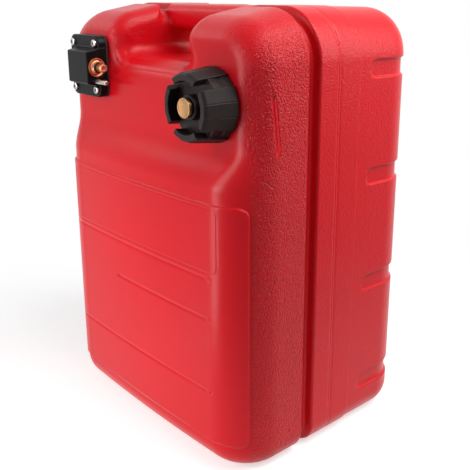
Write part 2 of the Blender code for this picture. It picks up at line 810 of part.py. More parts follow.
def vent_screw():
    """Make the brass vent screw: a rimmed disc head on a stem that passes the cap."""
    seat = -BOSS_END_Y + 2 * FIT + VENT_WASHER
    top = seat + VENT_HEAD
    tail = stop_ring_place() - STOP_RING
    rim_r = VENT_HEAD_R - VENT_RIM
    profile = [(VENT_STEM_R, tail), (VENT_STEM_R, seat), (VENT_HEAD_R, seat),
               (VENT_HEAD_R, top), (rim_r, top), (rim_r - VENT_RIM_DEPTH, top - VENT_RIM_DEPTH)]
    return mesh_object("vent_screw", *spun_rod(profile, on_filler(), 2 * SMALL_SIDES), brass())


def vent_stop_ring():
    """Make the ring that keeps the vent screw in the cap."""
    start = stop_ring_place()
    hole = VENT_STEM_R + FIT
    profile = [(hole, start), (STOP_RING_R, start), (STOP_RING_R, start + STOP_RING),
               (hole, start + STOP_RING)]
    return mesh_object("vent_stop_ring", *turned(profile, on_filler(), SMALL_SIDES), steel())


# Fuel connector

def flange_plate(front, back, grow, edge):
    """Return the flange's rounded plate between two planes, its front edge eased."""
    rings = []
    for y, inset in ((back, 0.0), (front + edge, 0.0), (front, edge)):
        outline = rounded_box(FLANGE_WIDTH + 2 * (grow - inset), FLANGE_HEIGHT + 2 * (grow - inset),
                              FLANGE_CORNER_R + grow - inset, SMALL_ARC_STEPS)
        rings.append([(CONNECTOR_X + x, y, CONNECTOR_Z + z) for x, z in outline])
    return skin(rings)


def block_solid():
    """Return the tapered block that stands out of the flange and carries the nipple."""
    right = BLOCK_SIDE_X
    left = right - BLOCK_WIDTH
    middle_x = (left + right) / 2
    rings = []
    half_height = BLOCK_HEIGHT / 2
    for y, inset in ((FLANGE_BACK_Y - FLANGE_EDGE_R, 0.0), (FLANGE_FRONT_Y, 0.0),
                     (BLOCK_FRONT_Y + BLOCK_EDGE_R, BLOCK_TAPER),
                     (BLOCK_FRONT_Y, BLOCK_TAPER + BLOCK_EDGE_R)):
        side = BLOCK_EDGE_R if y == BLOCK_FRONT_Y else 0.0
        outline = rounded_box(BLOCK_WIDTH - 2 * side, 2 * (half_height - inset),
                              2 * BLOCK_EDGE_R, SMALL_ARC_STEPS)
        rings.append([(middle_x + x, y, CONNECTOR_Z + z) for x, z in outline])
    return skin(rings)


def connector_housing():
    """Make the flange with its block, plug, spigot, passages and sockets."""
    made = mesh_object("connector_housing", *flange_plate(FLANGE_FRONT_Y, FLANGE_BACK_Y, 0.0,
                                                          FLANGE_EDGE_R), black_plastic())
    boolean(made, guide("connector_block", block_solid()), "UNION")
    inward = facing(CONNECTOR_X, 0.0, CONNECTOR_Z, (0, 1, 0))
    plug_end = FLANGE_BACK_Y + PLUG_LENGTH
    spigot = [(PORT_R - 2 * FIT, FLANGE_BACK_Y - OVERRUN), (PORT_R - 2 * FIT, plug_end),
              (SPIGOT_R, plug_end), (SPIGOT_R, plug_end + SPIGOT_LENGTH)]
    boolean(made, guide("connector_plug", spun_rod(spigot, inward, ROUND_SIDES)), "UNION")
    cuts = [rod(SOCKET_R, NIPPLE_SEAT_X, BLOCK_SIDE_X + OVERRUN, on_nipple(), ROUND_SIDES)]
    pin_frame = facing(0.0, NIPPLE_Y - PIN_FORWARD, CONNECTOR_Z - PIN_BELOW, (1, 0, 0))
    cuts.append(rod(PIN_R + FIT, BLOCK_SIDE_X - PIN_SEAT - FIT, BLOCK_SIDE_X + OVERRUN, pin_frame,
                    SMALL_SIDES))
    for x, z in screw_places():
        cuts.append(rod(SCREW_SHANK_R + FIT, -FLANGE_BACK_Y - OVERRUN, -FLANGE_FRONT_Y + OVERRUN,
                        facing(x, 0.0, z, (0, -1, 0)), SMALL_SIDES))
    boolean(made, guide("connector_cuts", joined(cuts)))
    across = rod(PASSAGE_R, CONNECTOR_X - PASSAGE_R, NIPPLE_SEAT_X + OVERRUN, on_nipple(), SMALL_SIDES)
    boolean(made, guide("passage_across", across))
    along = rod(PASSAGE_R, NIPPLE_Y, plug_end + SPIGOT_LENGTH + OVERRUN, inward, SMALL_SIDES)
    boolean(made, guide("passage_along", along))
    return made


def connector_gasket():
    """Make the flat gasket between the flange and the tank's wall."""
    back = UPPER_Y - FIT
    rings = []
    for y in (back, back - CONNECTOR_GASKET):
        outline = rounded_box(FLANGE_WIDTH, FLANGE_HEIGHT, FLANGE_CORNER_R, SMALL_ARC_STEPS)
        rings.append([(CONNECTOR_X + x, y, CONNECTOR_Z + z) for x, z in outline])
    made = mesh_object("connector_gasket", *skin(rings), black_rubber())
    outward_frame = facing(CONNECTOR_X, 0.0, CONNECTOR_Z, (0, -1, 0))
    cuts = [rod(PORT_R, -back - OVERRUN, -back + CONNECTOR_GASKET + OVERRUN, outward_frame, ROUND_SIDES)]
    for x, z in screw_places():
        cuts.append(rod(SCREW_SHANK_R + FIT, -back - OVERRUN, -back + CONNECTOR_GASKET + OVERRUN,
                        facing(x, 0.0, z, (0, -1, 0)), SMALL_SIDES))
    boolean(made, guide("gasket_holes", joined(cuts)))
    return made


def flange_screws():
    """Make the four screws that hold the flange."""
    finish = steel()
    made = []
    seat = -FLANGE_FRONT_Y + FIT
    tail = -UPPER_Y - INSERT_LENGTH + INSERT_WALL + FIT
    top = seat + SCREW_HEAD
    for number, (x, z) in enumerate(screw_places(), 1):
        profile = [(SCREW_SHANK_R, tail), (SCREW_SHANK_R, seat), (SCREW_HEAD_R, seat),
                   (SCREW_HEAD_R, seat + SCREW_HEAD / 2), (SCREW_HEAD_R * cos(pi / 5), top),
                   (SCREW_SOCKET_R, top), (SCREW_SOCKET_R, top - SCREW_SOCKET)]
        solid = spun_rod(profile, facing(x, 0.0, z, (0, -1, 0)), SMALL_SIDES)
        made.append(mesh_object(f"flange_screw_{number}", *solid, finish))
    return made


def wall_inserts():
    """Make the four closed brass inserts that the flange screws bite into."""
    finish = brass()
    made = []
    mouth = -UPPER_Y - FIT
    floor = mouth - INSERT_LENGTH
    bore = SCREW_SHANK_R + FIT
    outer = insert_radius()
    for number, (x, z) in enumerate(screw_places(), 1):
        profile = [(outer, floor), (outer, mouth), (bore, mouth), (bore, floor + INSERT_WALL)]
        solid = spun_rod(profile, facing(x, 0.0, z, (0, -1, 0)), SMALL_SIDES)
        made.append(mesh_object(f"wall_insert_{number}", *solid, finish))
    return made


def spring_end():
    """Return where the valve spring's rear turn rests, along the nipple's axis."""
    return plunger_back() - 2 * FIT - 2 * SPRING_WIRE_R - SPRING_LENGTH


def fuel_nipple():
    """Make the brass male nipple: a round base, a cone, a waist and a bore with a spring seat."""
    base_start = NIPPLE_SEAT_X + FIT
    base_end = NIPPLE_BASE_X
    cone_end = base_end + NIPPLE_CONE
    tip = BLOCK_SIDE_X + NIPPLE_REACH
    waist_end = cone_end + NIPPLE_WAIST
    lip = tip - NIPPLE_MOUTH
    outer_r = SOCKET_R - FIT
    profile = [(SPRING_SEAT_R, base_start), (outer_r, base_start), (outer_r, base_end),
               (NIPPLE_CONE_R, base_end), (NIPPLE_STEM_R, cone_end), (NIPPLE_WAIST_R, cone_end),
               (NIPPLE_WAIST_R, waist_end), (NIPPLE_STEM_R, waist_end), (NIPPLE_STEM_R, lip),
               (NIPPLE_TIP_R, tip), (NIPPLE_MOUTH_R, tip), (NIPPLE_MOUTH_R, lip), (NIPPLE_BORE_R, lip),
               (NIPPLE_BORE_R, spring_end()), (SPRING_SEAT_R, spring_end())]
    return mesh_object("fuel_nipple", *turned(profile, on_nipple(), ROUND_SIDES), brass())


def nipple_seal():
    """Make the O-ring in the nipple's waist."""
    middle = NIPPLE_BASE_X + NIPPLE_CONE + NIPPLE_WAIST / 2
    radius = NIPPLE_WAIST_R + FIT + SEAL_WIRE_R
    profile = arc(radius, middle, SEAL_WIRE_R, 0, 2 * pi, 2 * SMALL_ARC_STEPS)[:-1]
    return mesh_object("nipple_seal", *turned(profile, on_nipple(), ROUND_SIDES), black_rubber())


def plunger_back():
    """Return where the check valve's flange meets its spring, along the nipple's axis."""
    return BLOCK_SIDE_X + NIPPLE_REACH - NIPPLE_MOUTH - FIT - PLUNGER_FLANGE


def valve_plunger():
    """Make the check valve's plunger, whose stem fills the nipple's mouth."""
    back = plunger_back()
    tip = BLOCK_SIDE_X + NIPPLE_REACH
    profile = [(PLUNGER_FLANGE_R, back), (PLUNGER_FLANGE_R, back + PLUNGER_FLANGE),
               (PLUNGER_R, back + PLUNGER_FLANGE), (PLUNGER_R, tip)]
    made = mesh_object("valve_plunger", *spun_rod(profile, on_nipple(), SMALL_SIDES), steel())
    place_origin(made, (back, NIPPLE_Y, CONNECTOR_Z))
    return made


def valve_spring():
    """Make the coil spring behind the plunger as one round wire with closed ends."""
    finish = steel()
    steps = SPRING_TURNS * SPRING_POINTS
    end = plunger_back() - FIT - SPRING_WIRE_R
    curve = bpy.data.curves.new("valve_spring", "CURVE")
    curve.dimensions = "3D"
    curve.bevel_depth = SPRING_WIRE_R
    curve.bevel_resolution = 1
    curve.use_fill_caps = True
    run = curve.splines.new("POLY")
    run.points.add(steps)
    for step in range(steps + 1):
        angle = 2 * pi * SPRING_TURNS * step / steps
        x = end - SPRING_LENGTH * step / steps
        place = (x, NIPPLE_Y + SPRING_R * cos(angle), CONNECTOR_Z + SPRING_R * sin(angle), 1.0)
        run.points[step].co = place
    made = bpy.data.objects.new("valve_spring", curve)
    bpy.context.scene.collection.objects.link(made)
    curve.materials.append(finish)
    print("valve spring, least gap between turns:", SPRING_LENGTH / SPRING_TURNS - 2 * SPRING_WIRE_R)
    return made


def locating_pin():
    """Make the steel pin that lines up the hose end."""
    frame = facing(0.0, NIPPLE_Y - PIN_FORWARD, CONNECTOR_Z - PIN_BELOW, (1, 0, 0))
    start = BLOCK_SIDE_X - PIN_SEAT
    end = start + PIN_LENGTH
    profile = [(PIN_R, start), (PIN_R, end - PIN_CHAMFER), (PIN_R - PIN_CHAMFER, end)]
    return mesh_object("locating_pin", *spun_rod(profile, frame, SMALL_SIDES), steel())


# Pick-up

def spigot_end():
    """Return how far the connector's spigot reaches into the tank."""
    return FLANGE_BACK_Y + PLUG_LENGTH + SPIGOT_LENGTH


def tube_end():
    """Return where the pick-up tube ends, short of the back wall."""
    return BACK_Y - WALL - TUBE_BACK_GAP


def pickup_tube():
    """Make the tube that draws from the side that is lowest when the tank lies down."""
    inward = facing(CONNECTOR_X, 0.0, CONNECTOR_Z, (0, 1, 0))
    bore = SPIGOT_R + FIT
    start = spigot_end() - TUBE_GRIP
    profile = [(bore, start), (bore + TUBE_WALL, start), (bore + TUBE_WALL, tube_end()), (bore, tube_end())]
    return mesh_object("pickup_tube", *turned(profile, inward, SMALL_SIDES), clear_tube())


def pickup_strainer():
    """Make the slotted strainer cup on the tube's end."""
    inward = facing(CONNECTOR_X, 0.0, CONNECTOR_Z, (0, 1, 0))
    tube_r = SPIGOT_R + FIT + TUBE_WALL
    collar = tube_end() - TUBE_GRIP / 2
    mouth = tube_end() + FIT
    foot = BACK_Y - WALL - STRAINER_FOOT_GAP
    start = foot - STRAINER_LENGTH
    profile = [(tube_r + FIT, start), (STRAINER_R, start), (STRAINER_R, foot),
               (FIT, foot), (FIT, foot - TUBE_WALL), (STRAINER_R - TUBE_WALL, foot - TUBE_WALL),
               (STRAINER_R - TUBE_WALL, mouth + TUBE_WALL), (SPIGOT_R, mouth + TUBE_WALL),
               (SPIGOT_R, mouth), (tube_r + FIT, mouth)]
    made = mesh_object("pickup_strainer", *turned(profile, inward, SMALL_SIDES), black_plastic())
    low, high = mouth + 2 * TUBE_WALL, foot - 2 * TUBE_WALL
    width = 2 * pi * STRAINER_R / STRAINER_WINDOWS * STRAINER_WINDOW_SHARE
    windows = []
    for number in range(STRAINER_WINDOWS):
        turn = inward @ Matrix.Rotation(2 * pi * number / STRAINER_WINDOWS, 4, "Z")
        near, far = STRAINER_R - 2 * TUBE_WALL, STRAINER_R + OVERRUN
        rings = [[turn @ Vector((near, side, along)), turn @ Vector((far, side, along))]
                 for side, along in ((-width / 2, low), (width / 2, low), (width / 2, high),
                                     (-width / 2, high))]
        windows.append(skin([[pair[0] for pair in rings], [pair[1] for pair in rings]]))
    boolean(made, guide("strainer_windows", joined(windows)))
    return made


def build():
    """Build every sub-part of the tank."""
    clear_scene()
    tank_shell()
    connector_gasket()
    connector_housing()
    flange_screws()
    wall_inserts()
    fuel_nipple()
    nipple_seal()
    valve_plunger()
    valve_spring()
    locating_pin()
    pickup_tube()
    pickup_strainer()
    axis_point = (NECK_X, CAP_BASE_Y, NECK_Z)
    for piece in (cap_shell(), cap_liner(), cap_gasket(), vent_bush(), vent_washer(), vent_screw(),
                  vent_stop_ring()):
        place_origin(piece, axis_point)


build()
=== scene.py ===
"""Looks of a portable outboard fuel tank: a blow-moulded red shell with its cap, vent and connector.

The moulded pieces are meshed from smooth distance fields, so that their edges are as soft as moulded
ones, and the turned pieces are lathed. Metres, +Z up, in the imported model's frame.
"""

import logging
from dataclasses import dataclass, field
from enum import Enum
from math import atan2, cos, degrees, pi, radians, sin, sqrt
from typing import Callable, Sequence

import bmesh
import bpy
import numpy as np
from mathutils import Matrix, Vector


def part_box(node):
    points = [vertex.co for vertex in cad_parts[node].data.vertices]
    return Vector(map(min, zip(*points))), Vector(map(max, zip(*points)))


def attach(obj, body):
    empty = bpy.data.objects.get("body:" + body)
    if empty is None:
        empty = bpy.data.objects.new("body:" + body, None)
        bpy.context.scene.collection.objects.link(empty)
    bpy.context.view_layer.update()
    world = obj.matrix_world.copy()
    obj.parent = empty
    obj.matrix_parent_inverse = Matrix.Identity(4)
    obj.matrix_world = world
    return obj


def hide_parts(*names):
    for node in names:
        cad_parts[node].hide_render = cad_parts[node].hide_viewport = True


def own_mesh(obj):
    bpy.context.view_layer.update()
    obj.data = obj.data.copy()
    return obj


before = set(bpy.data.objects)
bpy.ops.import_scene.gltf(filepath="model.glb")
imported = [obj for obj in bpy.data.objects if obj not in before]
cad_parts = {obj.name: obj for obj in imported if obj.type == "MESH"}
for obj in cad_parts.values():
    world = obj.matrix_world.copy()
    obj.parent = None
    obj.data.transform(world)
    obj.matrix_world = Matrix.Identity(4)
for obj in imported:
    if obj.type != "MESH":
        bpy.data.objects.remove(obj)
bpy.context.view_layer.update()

log = logging.getLogger("fuel_tank")

Array = np.ndarray
Field = Callable[[Array, Array, Array], Array]
Color = tuple[float, float, float]

TANK_BODY, CAP_BODY, VENT_BODY = "tank", "cap", "vent"
LEAST_SLOPE = 0.05
CORNER_SHARE = 0.45
SHELL_BEND = 0.004
FITTING_BEND = 0.0010
GRAIN_BEND_SCALE = 160.0
GRAIN_BEND = 0.0035
GRAIN_ROUGH = 0.9
GRAIN_VALLEY = 1.4
GRAIN_SKIN = 0.45
WEAR_BREAK = 1.2
WEAR_BASE = 0.2
FINE_SHARE = 0.35
BROAD_SHARE = 0.65
SMOOTHEST = 0.05
RING_STRETCH = 14.0
RING_RELIEF = 0.8
WEAR_LAYER, GRAIN_LAYER = "wear", "grain"


# Distance fields

def meet(a: Array, b: Array, radius: Array | float) -> Array:
    """Intersect two distances, with the edge between them rounded.

    Args:
        a: first distance, negative inside.
        b: second distance, negative inside.
        radius: radius of the rounded edge.

    Returns:
        The distance to what both hold.
    """
    outer = np.hypot(np.maximum(a + radius, 0.0), np.maximum(b + radius, 0.0))
    return np.minimum(np.maximum(a, b), -radius) + outer


def join(a: Array, b: Array, radius: Array | float) -> Array:
    """Unite two distances, with a round fillet between them.

    Args:
        a: first distance, negative inside.
        b: second distance, negative inside.
        radius: radius of the fillet.

    Returns:
        The distance to what either holds.
    """
    return -meet(-a, -b, radius)


def cut(a: Array, tool: Array, radius: Array | float) -> Array:
    """Take one distance's solid out of another, with the edge rounded.

    Args:
        a: distance to the solid that is cut.
        tool: distance to what is taken away.
        radius: radius of the edge.

    Returns:
        The distance to what stays.
    """
    return meet(a, -tool, radius)


def ease(share: Array) -> Array:
    """Return a share from 0 to 1 with a smooth start and end."""
    held = np.clip(share, 0.0, 1.0)
    return held * held * (3.0 - 2.0 * held)


def blend(a: Array | float, b: Array | float, share: Array | float) -> Array | float:
    """Return the value that lies a share of the way from a to b."""
    return a + (b - a) * share


def rounded_box(u: Array, v: Array, half_u: float, half_v: float, radius: Array | float) -> Array:
    """Return the distance to a rounded rectangle about the origin.

    Args:
        u: first coordinate.
        v: second coordinate.
        half_u: half its size along u.
        half_v: half its size along v.
        radius: its corner radius.

    Returns:
        The distance, negative inside.
    """
    return meet(np.abs(u) - half_u, np.abs(v) - half_v, radius)


def segment(u: Array, v: Array, start: float, end: float, at: float) -> Array:
    """Return the distance to a straight line along u, from start to end, at one v."""
    low, high = min(start, end), max(start, end)
    return np.hypot(u - np.clip(u, low, high), v - at)


# Meshes from fields and profiles

def planes(low: float, high: float, coarse: float, fine: float,
           bands: Sequence[tuple[float, float]] = ()) -> Array:
    """Return grid planes between two places, set closer in some bands.

    Args:
        low: first plane.
        high: last plane.
        coarse: step outside the bands.
        fine: step inside the bands.
        bands: pairs of lowest and highest place.

    Returns:
        The planes in order.
    """
    made = [low]
    while made[-1] < high:
        here = made[-1]
        close = any(start - coarse < here < end for start, end in bands)
        made.append(here + (fine if close else coarse))
    return np.array(made)


def slope(shape: Field, points: Array, step: float) -> Array:
    """Return a field's gradient at points, by central differences."""
    parts = []
    for axis in range(3):
        near, far = points.copy(), points.copy()
        near[:, axis] -= step
        far[:, axis] += step
        parts.append((shape(*far.T) - shape(*near.T)) / (2 * step))
    return np.stack(parts, axis=1)


def settle(shape: Field, points: Array, reach: float, rounds: int = 3) -> Array:
    """Move points onto a field's zero surface.

    Args:
        shape: the distance field.
        points: points near the surface.
        reach: longest move of one round.
        rounds: how many moves are made.

    Returns:
        The moved points.
    """
    for _ in range(rounds):
        value = shape(*points.T)
        gradient = slope(shape, points, reach / 50)
        steep = np.maximum((gradient ** 2).sum(axis=1), LEAST_SLOPE)
        move = -(value / steep)[:, None] * gradient
        length = np.maximum(np.linalg.norm(move, axis=1, keepdims=True), 1e-12)
        points = points + move * np.minimum(1.0, reach / length)
    return points


@dataclass
class Net:
    """A mesh of quads on a field's zero surface, with its normals and how sharply it bends."""

    points: Array
    quads: Array
    normals: Array
    wear: Array


def net(shape: Field, grid: tuple[Array, Array, Array], bend_reach: float, smooth: int = 3) -> Net:
    """Mesh a field's zero surface with one point in each crossed cell of a grid.

    Args:
        shape: the distance field.
        grid: the planes along X, Y and Z.
        bend_reach: how far out the bend of the surface is felt for.
        smooth: rounds of evening out the points along the surface.

    Returns:
        The net.
    """
    xs, ys, zs = grid
    values = shape(xs[:, None, None], ys[None, :, None], zs[None, None, :])
    inside = values < 0.0
    eight = [inside[a:len(xs) - 1 + a, b:len(ys) - 1 + b, c:len(zs) - 1 + c]
             for a in (0, 1) for b in (0, 1) for c in (0, 1)]
    total = sum(part.astype(np.int8) for part in eight)
    crossed = (total > 0) & (total < 8)
    number = np.full(crossed.shape, -1, np.int64)
    number[crossed] = np.arange(crossed.sum())
    i, j, k = np.nonzero(crossed)
    points = np.stack([(xs[i] + xs[i + 1]) / 2, (ys[j] + ys[j + 1]) / 2, (zs[k] + zs[k + 1]) / 2], axis=1)
    quads = np.concatenate([ring_quads(inside, number, axis) for axis in range(3)])
    reach = max(np.diff(xs).max(), np.diff(ys).max(), np.diff(zs).max())
    points = settle(shape, points, reach)
    for _ in range(smooth):
        points = settle(shape, evened(points, quads), reach, 2)
    normals = slope(shape, points, bend_reach / 20)
    normals /= np.maximum(np.linalg.norm(normals, axis=1, keepdims=True), 1e-9)
    out = shape(*(points - normals * bend_reach).T) + bend_reach
    wear = np.clip(out / bend_reach, 0.0, 1.0)
    return Net(points, quads, normals, wear)


def ring_quads(inside: Array, number: Array, axis: int) -> Array:
    """Return the quads round the grid's crossed edges along one axis.

    Args:
        inside: whether each grid point is inside.
        number: each cell's point number.
        axis: 0, 1 or 2 for X, Y or Z.

    Returns:
        Four point numbers for each quad, facing out.
    """
    turned_inside = np.moveaxis(inside, axis, 0)
    turned_number = np.moveaxis(number, axis, 0)
    start = turned_inside[:-1, 1:-1, 1:-1]
    end = turned_inside[1:, 1:-1, 1:-1]
    a, b, c = np.nonzero(start != end)
    corners = [turned_number[a, b + p, c + q] for p, q in ((0, 0), (1, 0), (1, 1), (0, 1))]
    quads = np.stack(corners, axis=1)
    flip = ~start[a, b, c]
    if axis == 1:
        flip = ~flip
    quads[flip] = quads[flip][:, ::-1]
    return quads


def evened(points: Array, quads: Array) -> Array:
    """Return points moved half-way to the middle of their neighbours."""
    total = np.zeros_like(points)
    count = np.zeros(len(points))
    for here in range(4):
        for there in ((here + 1) % 4, (here + 3) % 4):
            for axis in range(3):
                total[:, axis] += np.bincount(quads[:, here], points[quads[:, there], axis], len(points))
            count += np.bincount(quads[:, here], minlength=len(points))
    return (points + total / np.maximum(count, 1.0)[:, None]) / 2


def net_object(name: str, made: Net, grain: Array | None = None) -> bpy.types.Object:
    """Make a smooth object from a net.

    Args:
        name: the object's name.
        made: the net.
        grain: how coarse the moulded grain is at each point, from 0 to 1.

    Returns:
        The new object.
    """
    mesh = bpy.data.meshes.new(name)
    mesh.from_pydata(made.points.tolist(), [], made.quads.tolist())
    mesh.update()
    for layer, data in ((WEAR_LAYER, made.wear), (GRAIN_LAYER, grain)):
        if data is not None:
            attribute = mesh.attributes.new(layer, "FLOAT", "POINT")
            attribute.data.foreach_set("value", data.astype(np.float32))
    mesh.shade_smooth()
    mesh.normals_split_custom_set_from_vertices(made.normals.tolist())
    piece = bpy.data.objects.new(name, mesh)
    bpy.context.scene.collection.objects.link(piece)
    return piece


@dataclass(frozen=True)
class Corner:
    """One corner of a lathe profile: its radius, its place along the axis and its rounding."""

    r: float
    along: float
    soft: float = 0.0


def soft_profile(corners: Sequence[Corner], steps: int = 4) -> list[tuple[float, float]]:
    """Return a profile's points, with its corners rounded.

    Args:
        corners: the corners in order.
        steps: how many spans a rounded corner gets.

    Returns:
        Points as pairs of radius and place along the axis.
    """
    made = []
    for place, corner in enumerate(corners):
        here = Vector((corner.r, corner.along))
        if corner.soft <= 0.0 or place in (0, len(corners) - 1):
            made.append(tuple(here))
            continue
        before = Vector((corners[place - 1].r, corners[place - 1].along)) - here
        after = Vector((corners[place + 1].r, corners[place + 1].along)) - here
        reach = min(corner.soft, before.length * CORNER_SHARE, after.length * CORNER_SHARE)
        start, end = here + before.normalized() * reach, here + after.normalized() * reach
        for step in range(steps + 1):
            share = step / steps
            near, far = start.lerp(here, share), here.lerp(end, share)
            made.append(tuple(near.lerp(far, share)))
    return made


def lathe(name: str, corners: Sequence[Corner], place: Matrix, sides: int = 64,
          lobes: Callable[[float, float, float], float] | None = None) -> bpy.types.Object:
    """Turn a profile round an axis.

    Args:
        name: the object's name.
        corners: the profile, whose ends on the axis are closed.
        place: the frame whose Z axis is the lathe's axis.
        sides: how many sides a turn has.
        lobes: changes a radius by its angle and place along the axis.

    Returns:
        The new object.
    """
    profile = soft_profile(corners)
    work = bmesh.new()
    rings = []
    for radius, along in profile:
        if radius <= 0.0:
            rings.append([work.verts.new(place @ Vector((0.0, 0.0, along)))])
            continue
        ring = []
        for side in range(sides):
            angle = 2 * pi * side / sides
            held = lobes(radius, angle, along) if lobes else radius
            ring.append(work.verts.new(place @ Vector((held * cos(angle), held * sin(angle), along))))
        rings.append(ring)
    closed = profile[0][0] > 0.0 and profile[-1][0] > 0.0
    pairs = list(zip(rings, rings[1:])) + ([(rings[-1], rings[0])] if closed else [])
    for low, high in pairs:
        for side in range(sides):
            after = (side + 1) % sides
            four = [low[side % len(low)], low[after % len(low)], high[after % len(high)], high[side % len(high)]]
            work.faces.new(list(dict.fromkeys(four)))
    bmesh.ops.recalc_face_normals(work, faces=work.faces)
    mesh = bpy.data.meshes.new(name)
    work.to_mesh(mesh)
    work.free()
    mesh.shade_smooth()
    mesh.set_sharp_from_angle(angle=radians(38))
    piece = bpy.data.objects.new(name, mesh)
    bpy.context.scene.collection.objects.link(piece)
    return piece


def facing(point: Sequence[float], direction: Sequence[float]) -> Matrix:
    """Return a frame at a point whose Z axis has the given direction."""
    turn = Vector((0, 0, 1)).rotation_difference(Vector(direction))
    return Matrix.Translation(point) @ turn.to_matrix().to_4x4()


# Finishes

class Texture(Enum):
    """How a moulded surface is textured."""

    LEATHER = "leather"
    SPARK = "spark"
    TURNED = "turned"


def new_group(name: str, inputs: Sequence[tuple[str, float]], outputs: Sequence[tuple[str, str]]) -> tuple:
    """Make an empty shader node group with number inputs.

    Args:
        name: the group's name.
        inputs: each input's name and default.
        outputs: each output's name and socket type.

    Returns:
        The group and its input and output nodes.
    """
    group = bpy.data.node_groups.new(name, "ShaderNodeTree")
    group.interface.new_socket("Vector", in_out="INPUT", socket_type="NodeSocketVector")
    for label, default in inputs:
        made = group.interface.new_socket(label, in_out="INPUT", socket_type="NodeSocketFloat")
        made.default_value = default
    for label, kind in outputs:
        group.interface.new_socket(label, in_out="OUTPUT", socket_type=kind)
    return group, group.nodes.new("NodeGroupInput"), group.nodes.new("NodeGroupOutput")


def math_node(tree: bpy.types.NodeTree, operation: str, first: object, second: object = 0.0,
              third: object = 0.0) -> bpy.types.NodeSocket:
    """Add a Math node whose inputs are numbers or sockets.

    Args:
        tree: the node tree.
        operation: the Math node's operation.
        first: first input.
        second: second input.
        third: third input.

    Returns:
        The node's output.
    """
    node = tree.nodes.new("ShaderNodeMath")
    node.operation = operation
    for place, value in enumerate((first, second, third)):
        if isinstance(value, bpy.types.NodeSocket):
            tree.links.new(value, node.inputs[place])
        else:
            node.inputs[place].default_value = value
    return node.outputs[0]


def noise_node(tree: bpy.types.NodeTree, vector: bpy.types.NodeSocket, scale: object,
               detail: float = 2.0) -> bpy.types.NodeSocket:
    """Add a Noise texture and return its factor.

    Args:
        tree: the node tree.
        vector: the coordinates.
        scale: a number or a socket.
        detail: how many octaves it has.

    Returns:
        The factor's socket.
    """
    node = tree.nodes.new("ShaderNodeTexNoise")
    node.inputs["Detail"].default_value = detail
    tree.links.new(vector, node.inputs["Vector"])
    if isinstance(scale, bpy.types.NodeSocket):
        tree.links.new(scale, node.inputs["Scale"])
    else:
        node.inputs["Scale"].default_value = scale
    return node.outputs["Fac"]


def leather_group() -> bpy.types.NodeTree:
    """Make the pebbled mould grain: cells with soft valleys, broken up by noise."""
    group, given, out = new_group("mould_grain", (("Scale", 420.0), ("Amount", 1.0), ("Skin", 0.15)),
                                  (("Height", "NodeSocketFloat"), ("Mask", "NodeSocketFloat")))
    warp = group.nodes.new("ShaderNodeVectorMath")
    warp.operation = "ADD"
    bend = group.nodes.new("ShaderNodeTexNoise")
    bend.inputs["Scale"].default_value = GRAIN_BEND_SCALE
    shrink = group.nodes.new("ShaderNodeVectorMath")
    shrink.operation = "SCALE"
    shrink.inputs["Scale"].default_value = GRAIN_BEND
    group.links.new(given.outputs["Vector"], bend.inputs["Vector"])
    group.links.new(bend.outputs["Color"], shrink.inputs[0])
    group.links.new(given.outputs["Vector"], warp.inputs[0])
    group.links.new(shrink.outputs[0], warp.inputs[1])
    cells = group.nodes.new("ShaderNodeTexVoronoi")
    cells.feature = "F1"
    group.links.new(warp.outputs[0], cells.inputs["Vector"])
    group.links.new(given.outputs["Scale"], cells.inputs["Scale"])
    valley = math_node(group, "MULTIPLY", cells.outputs["Distance"], cells.outputs["Distance"])
    rough_scale = math_node(group, "MULTIPLY", given.outputs["Scale"], GRAIN_ROUGH)
    rough = noise_node(group, warp.outputs[0], rough_scale, 3.0)
    mixed = math_node(group, "SUBTRACT", rough, math_node(group, "MULTIPLY", valley, GRAIN_VALLEY))
    coarse = math_node(group, "MULTIPLY", mixed, given.outputs["Amount"])
    skin_scale = math_node(group, "MULTIPLY", given.outputs["Scale"], GRAIN_SKIN)
    skin = noise_node(group, given.outputs["Vector"], skin_scale, 3.0)
    fine = math_node(group, "MULTIPLY", skin, given.outputs["Skin"])
    group.links.new(math_node(group, "ADD", coarse, fine), out.inputs["Height"])
    # Mask is each valley's depth: the materials paint shade into the valleys with it and roughen them.
    group.links.new(math_node(group, "MULTIPLY", valley, given.outputs["Amount"]), out.inputs["Mask"])
    return group


def drift_group() -> bpy.types.NodeTree:
    """Make the slow change of tone and polish over a surface: broad patches and fine specks."""
    group, given, out = new_group("surface_drift", (("Broad Scale", 9.0), ("Fine Scale", 260.0)),
                                  (("Broad", "NodeSocketFloat"), ("Fine", "NodeSocketFloat")))
    for label, detail in (("Broad", 3.0), ("Fine", 4.0)):
        value = noise_node(group, given.outputs["Vector"], given.outputs[f"{label} Scale"], detail)
        group.links.new(value, out.inputs[label])
    return group


def wear_group() -> bpy.types.NodeTree:
    """Make the mask of rubbed edges: the mesh's own bend, broken up by noise."""
    group, given, out = new_group("edge_wear", (("Amount", 1.0), ("Scale", 220.0)),
                                  (("Mask", "NodeSocketFloat"),))
    edge = group.nodes.new("ShaderNodeAttribute")
    edge.attribute_name = WEAR_LAYER
    broken = noise_node(group, given.outputs["Vector"], given.outputs["Scale"], 4.0)
    patches = math_node(group, "MULTIPLY_ADD", broken, WEAR_BREAK, WEAR_BASE)
    rubbed = math_node(group, "MULTIPLY", edge.outputs["Fac"], patches)
    limited = math_node(group, "MINIMUM", math_node(group, "MULTIPLY", rubbed, given.outputs["Amount"]), 1.0)
    group.links.new(limited, out.inputs["Mask"])
    return group


class Effects:
    """The shader node groups that several materials share, each built once."""

    made: dict[str, bpy.types.NodeTree] = {}
    makers = {"grain": leather_group, "drift": drift_group, "wear": wear_group}

    @classmethod
    def group(cls, name: str) -> bpy.types.NodeTree:
        """Return a shared group by its short name."""
        if name not in cls.made:
            cls.made[name] = cls.makers[name]()
        return cls.made[name]


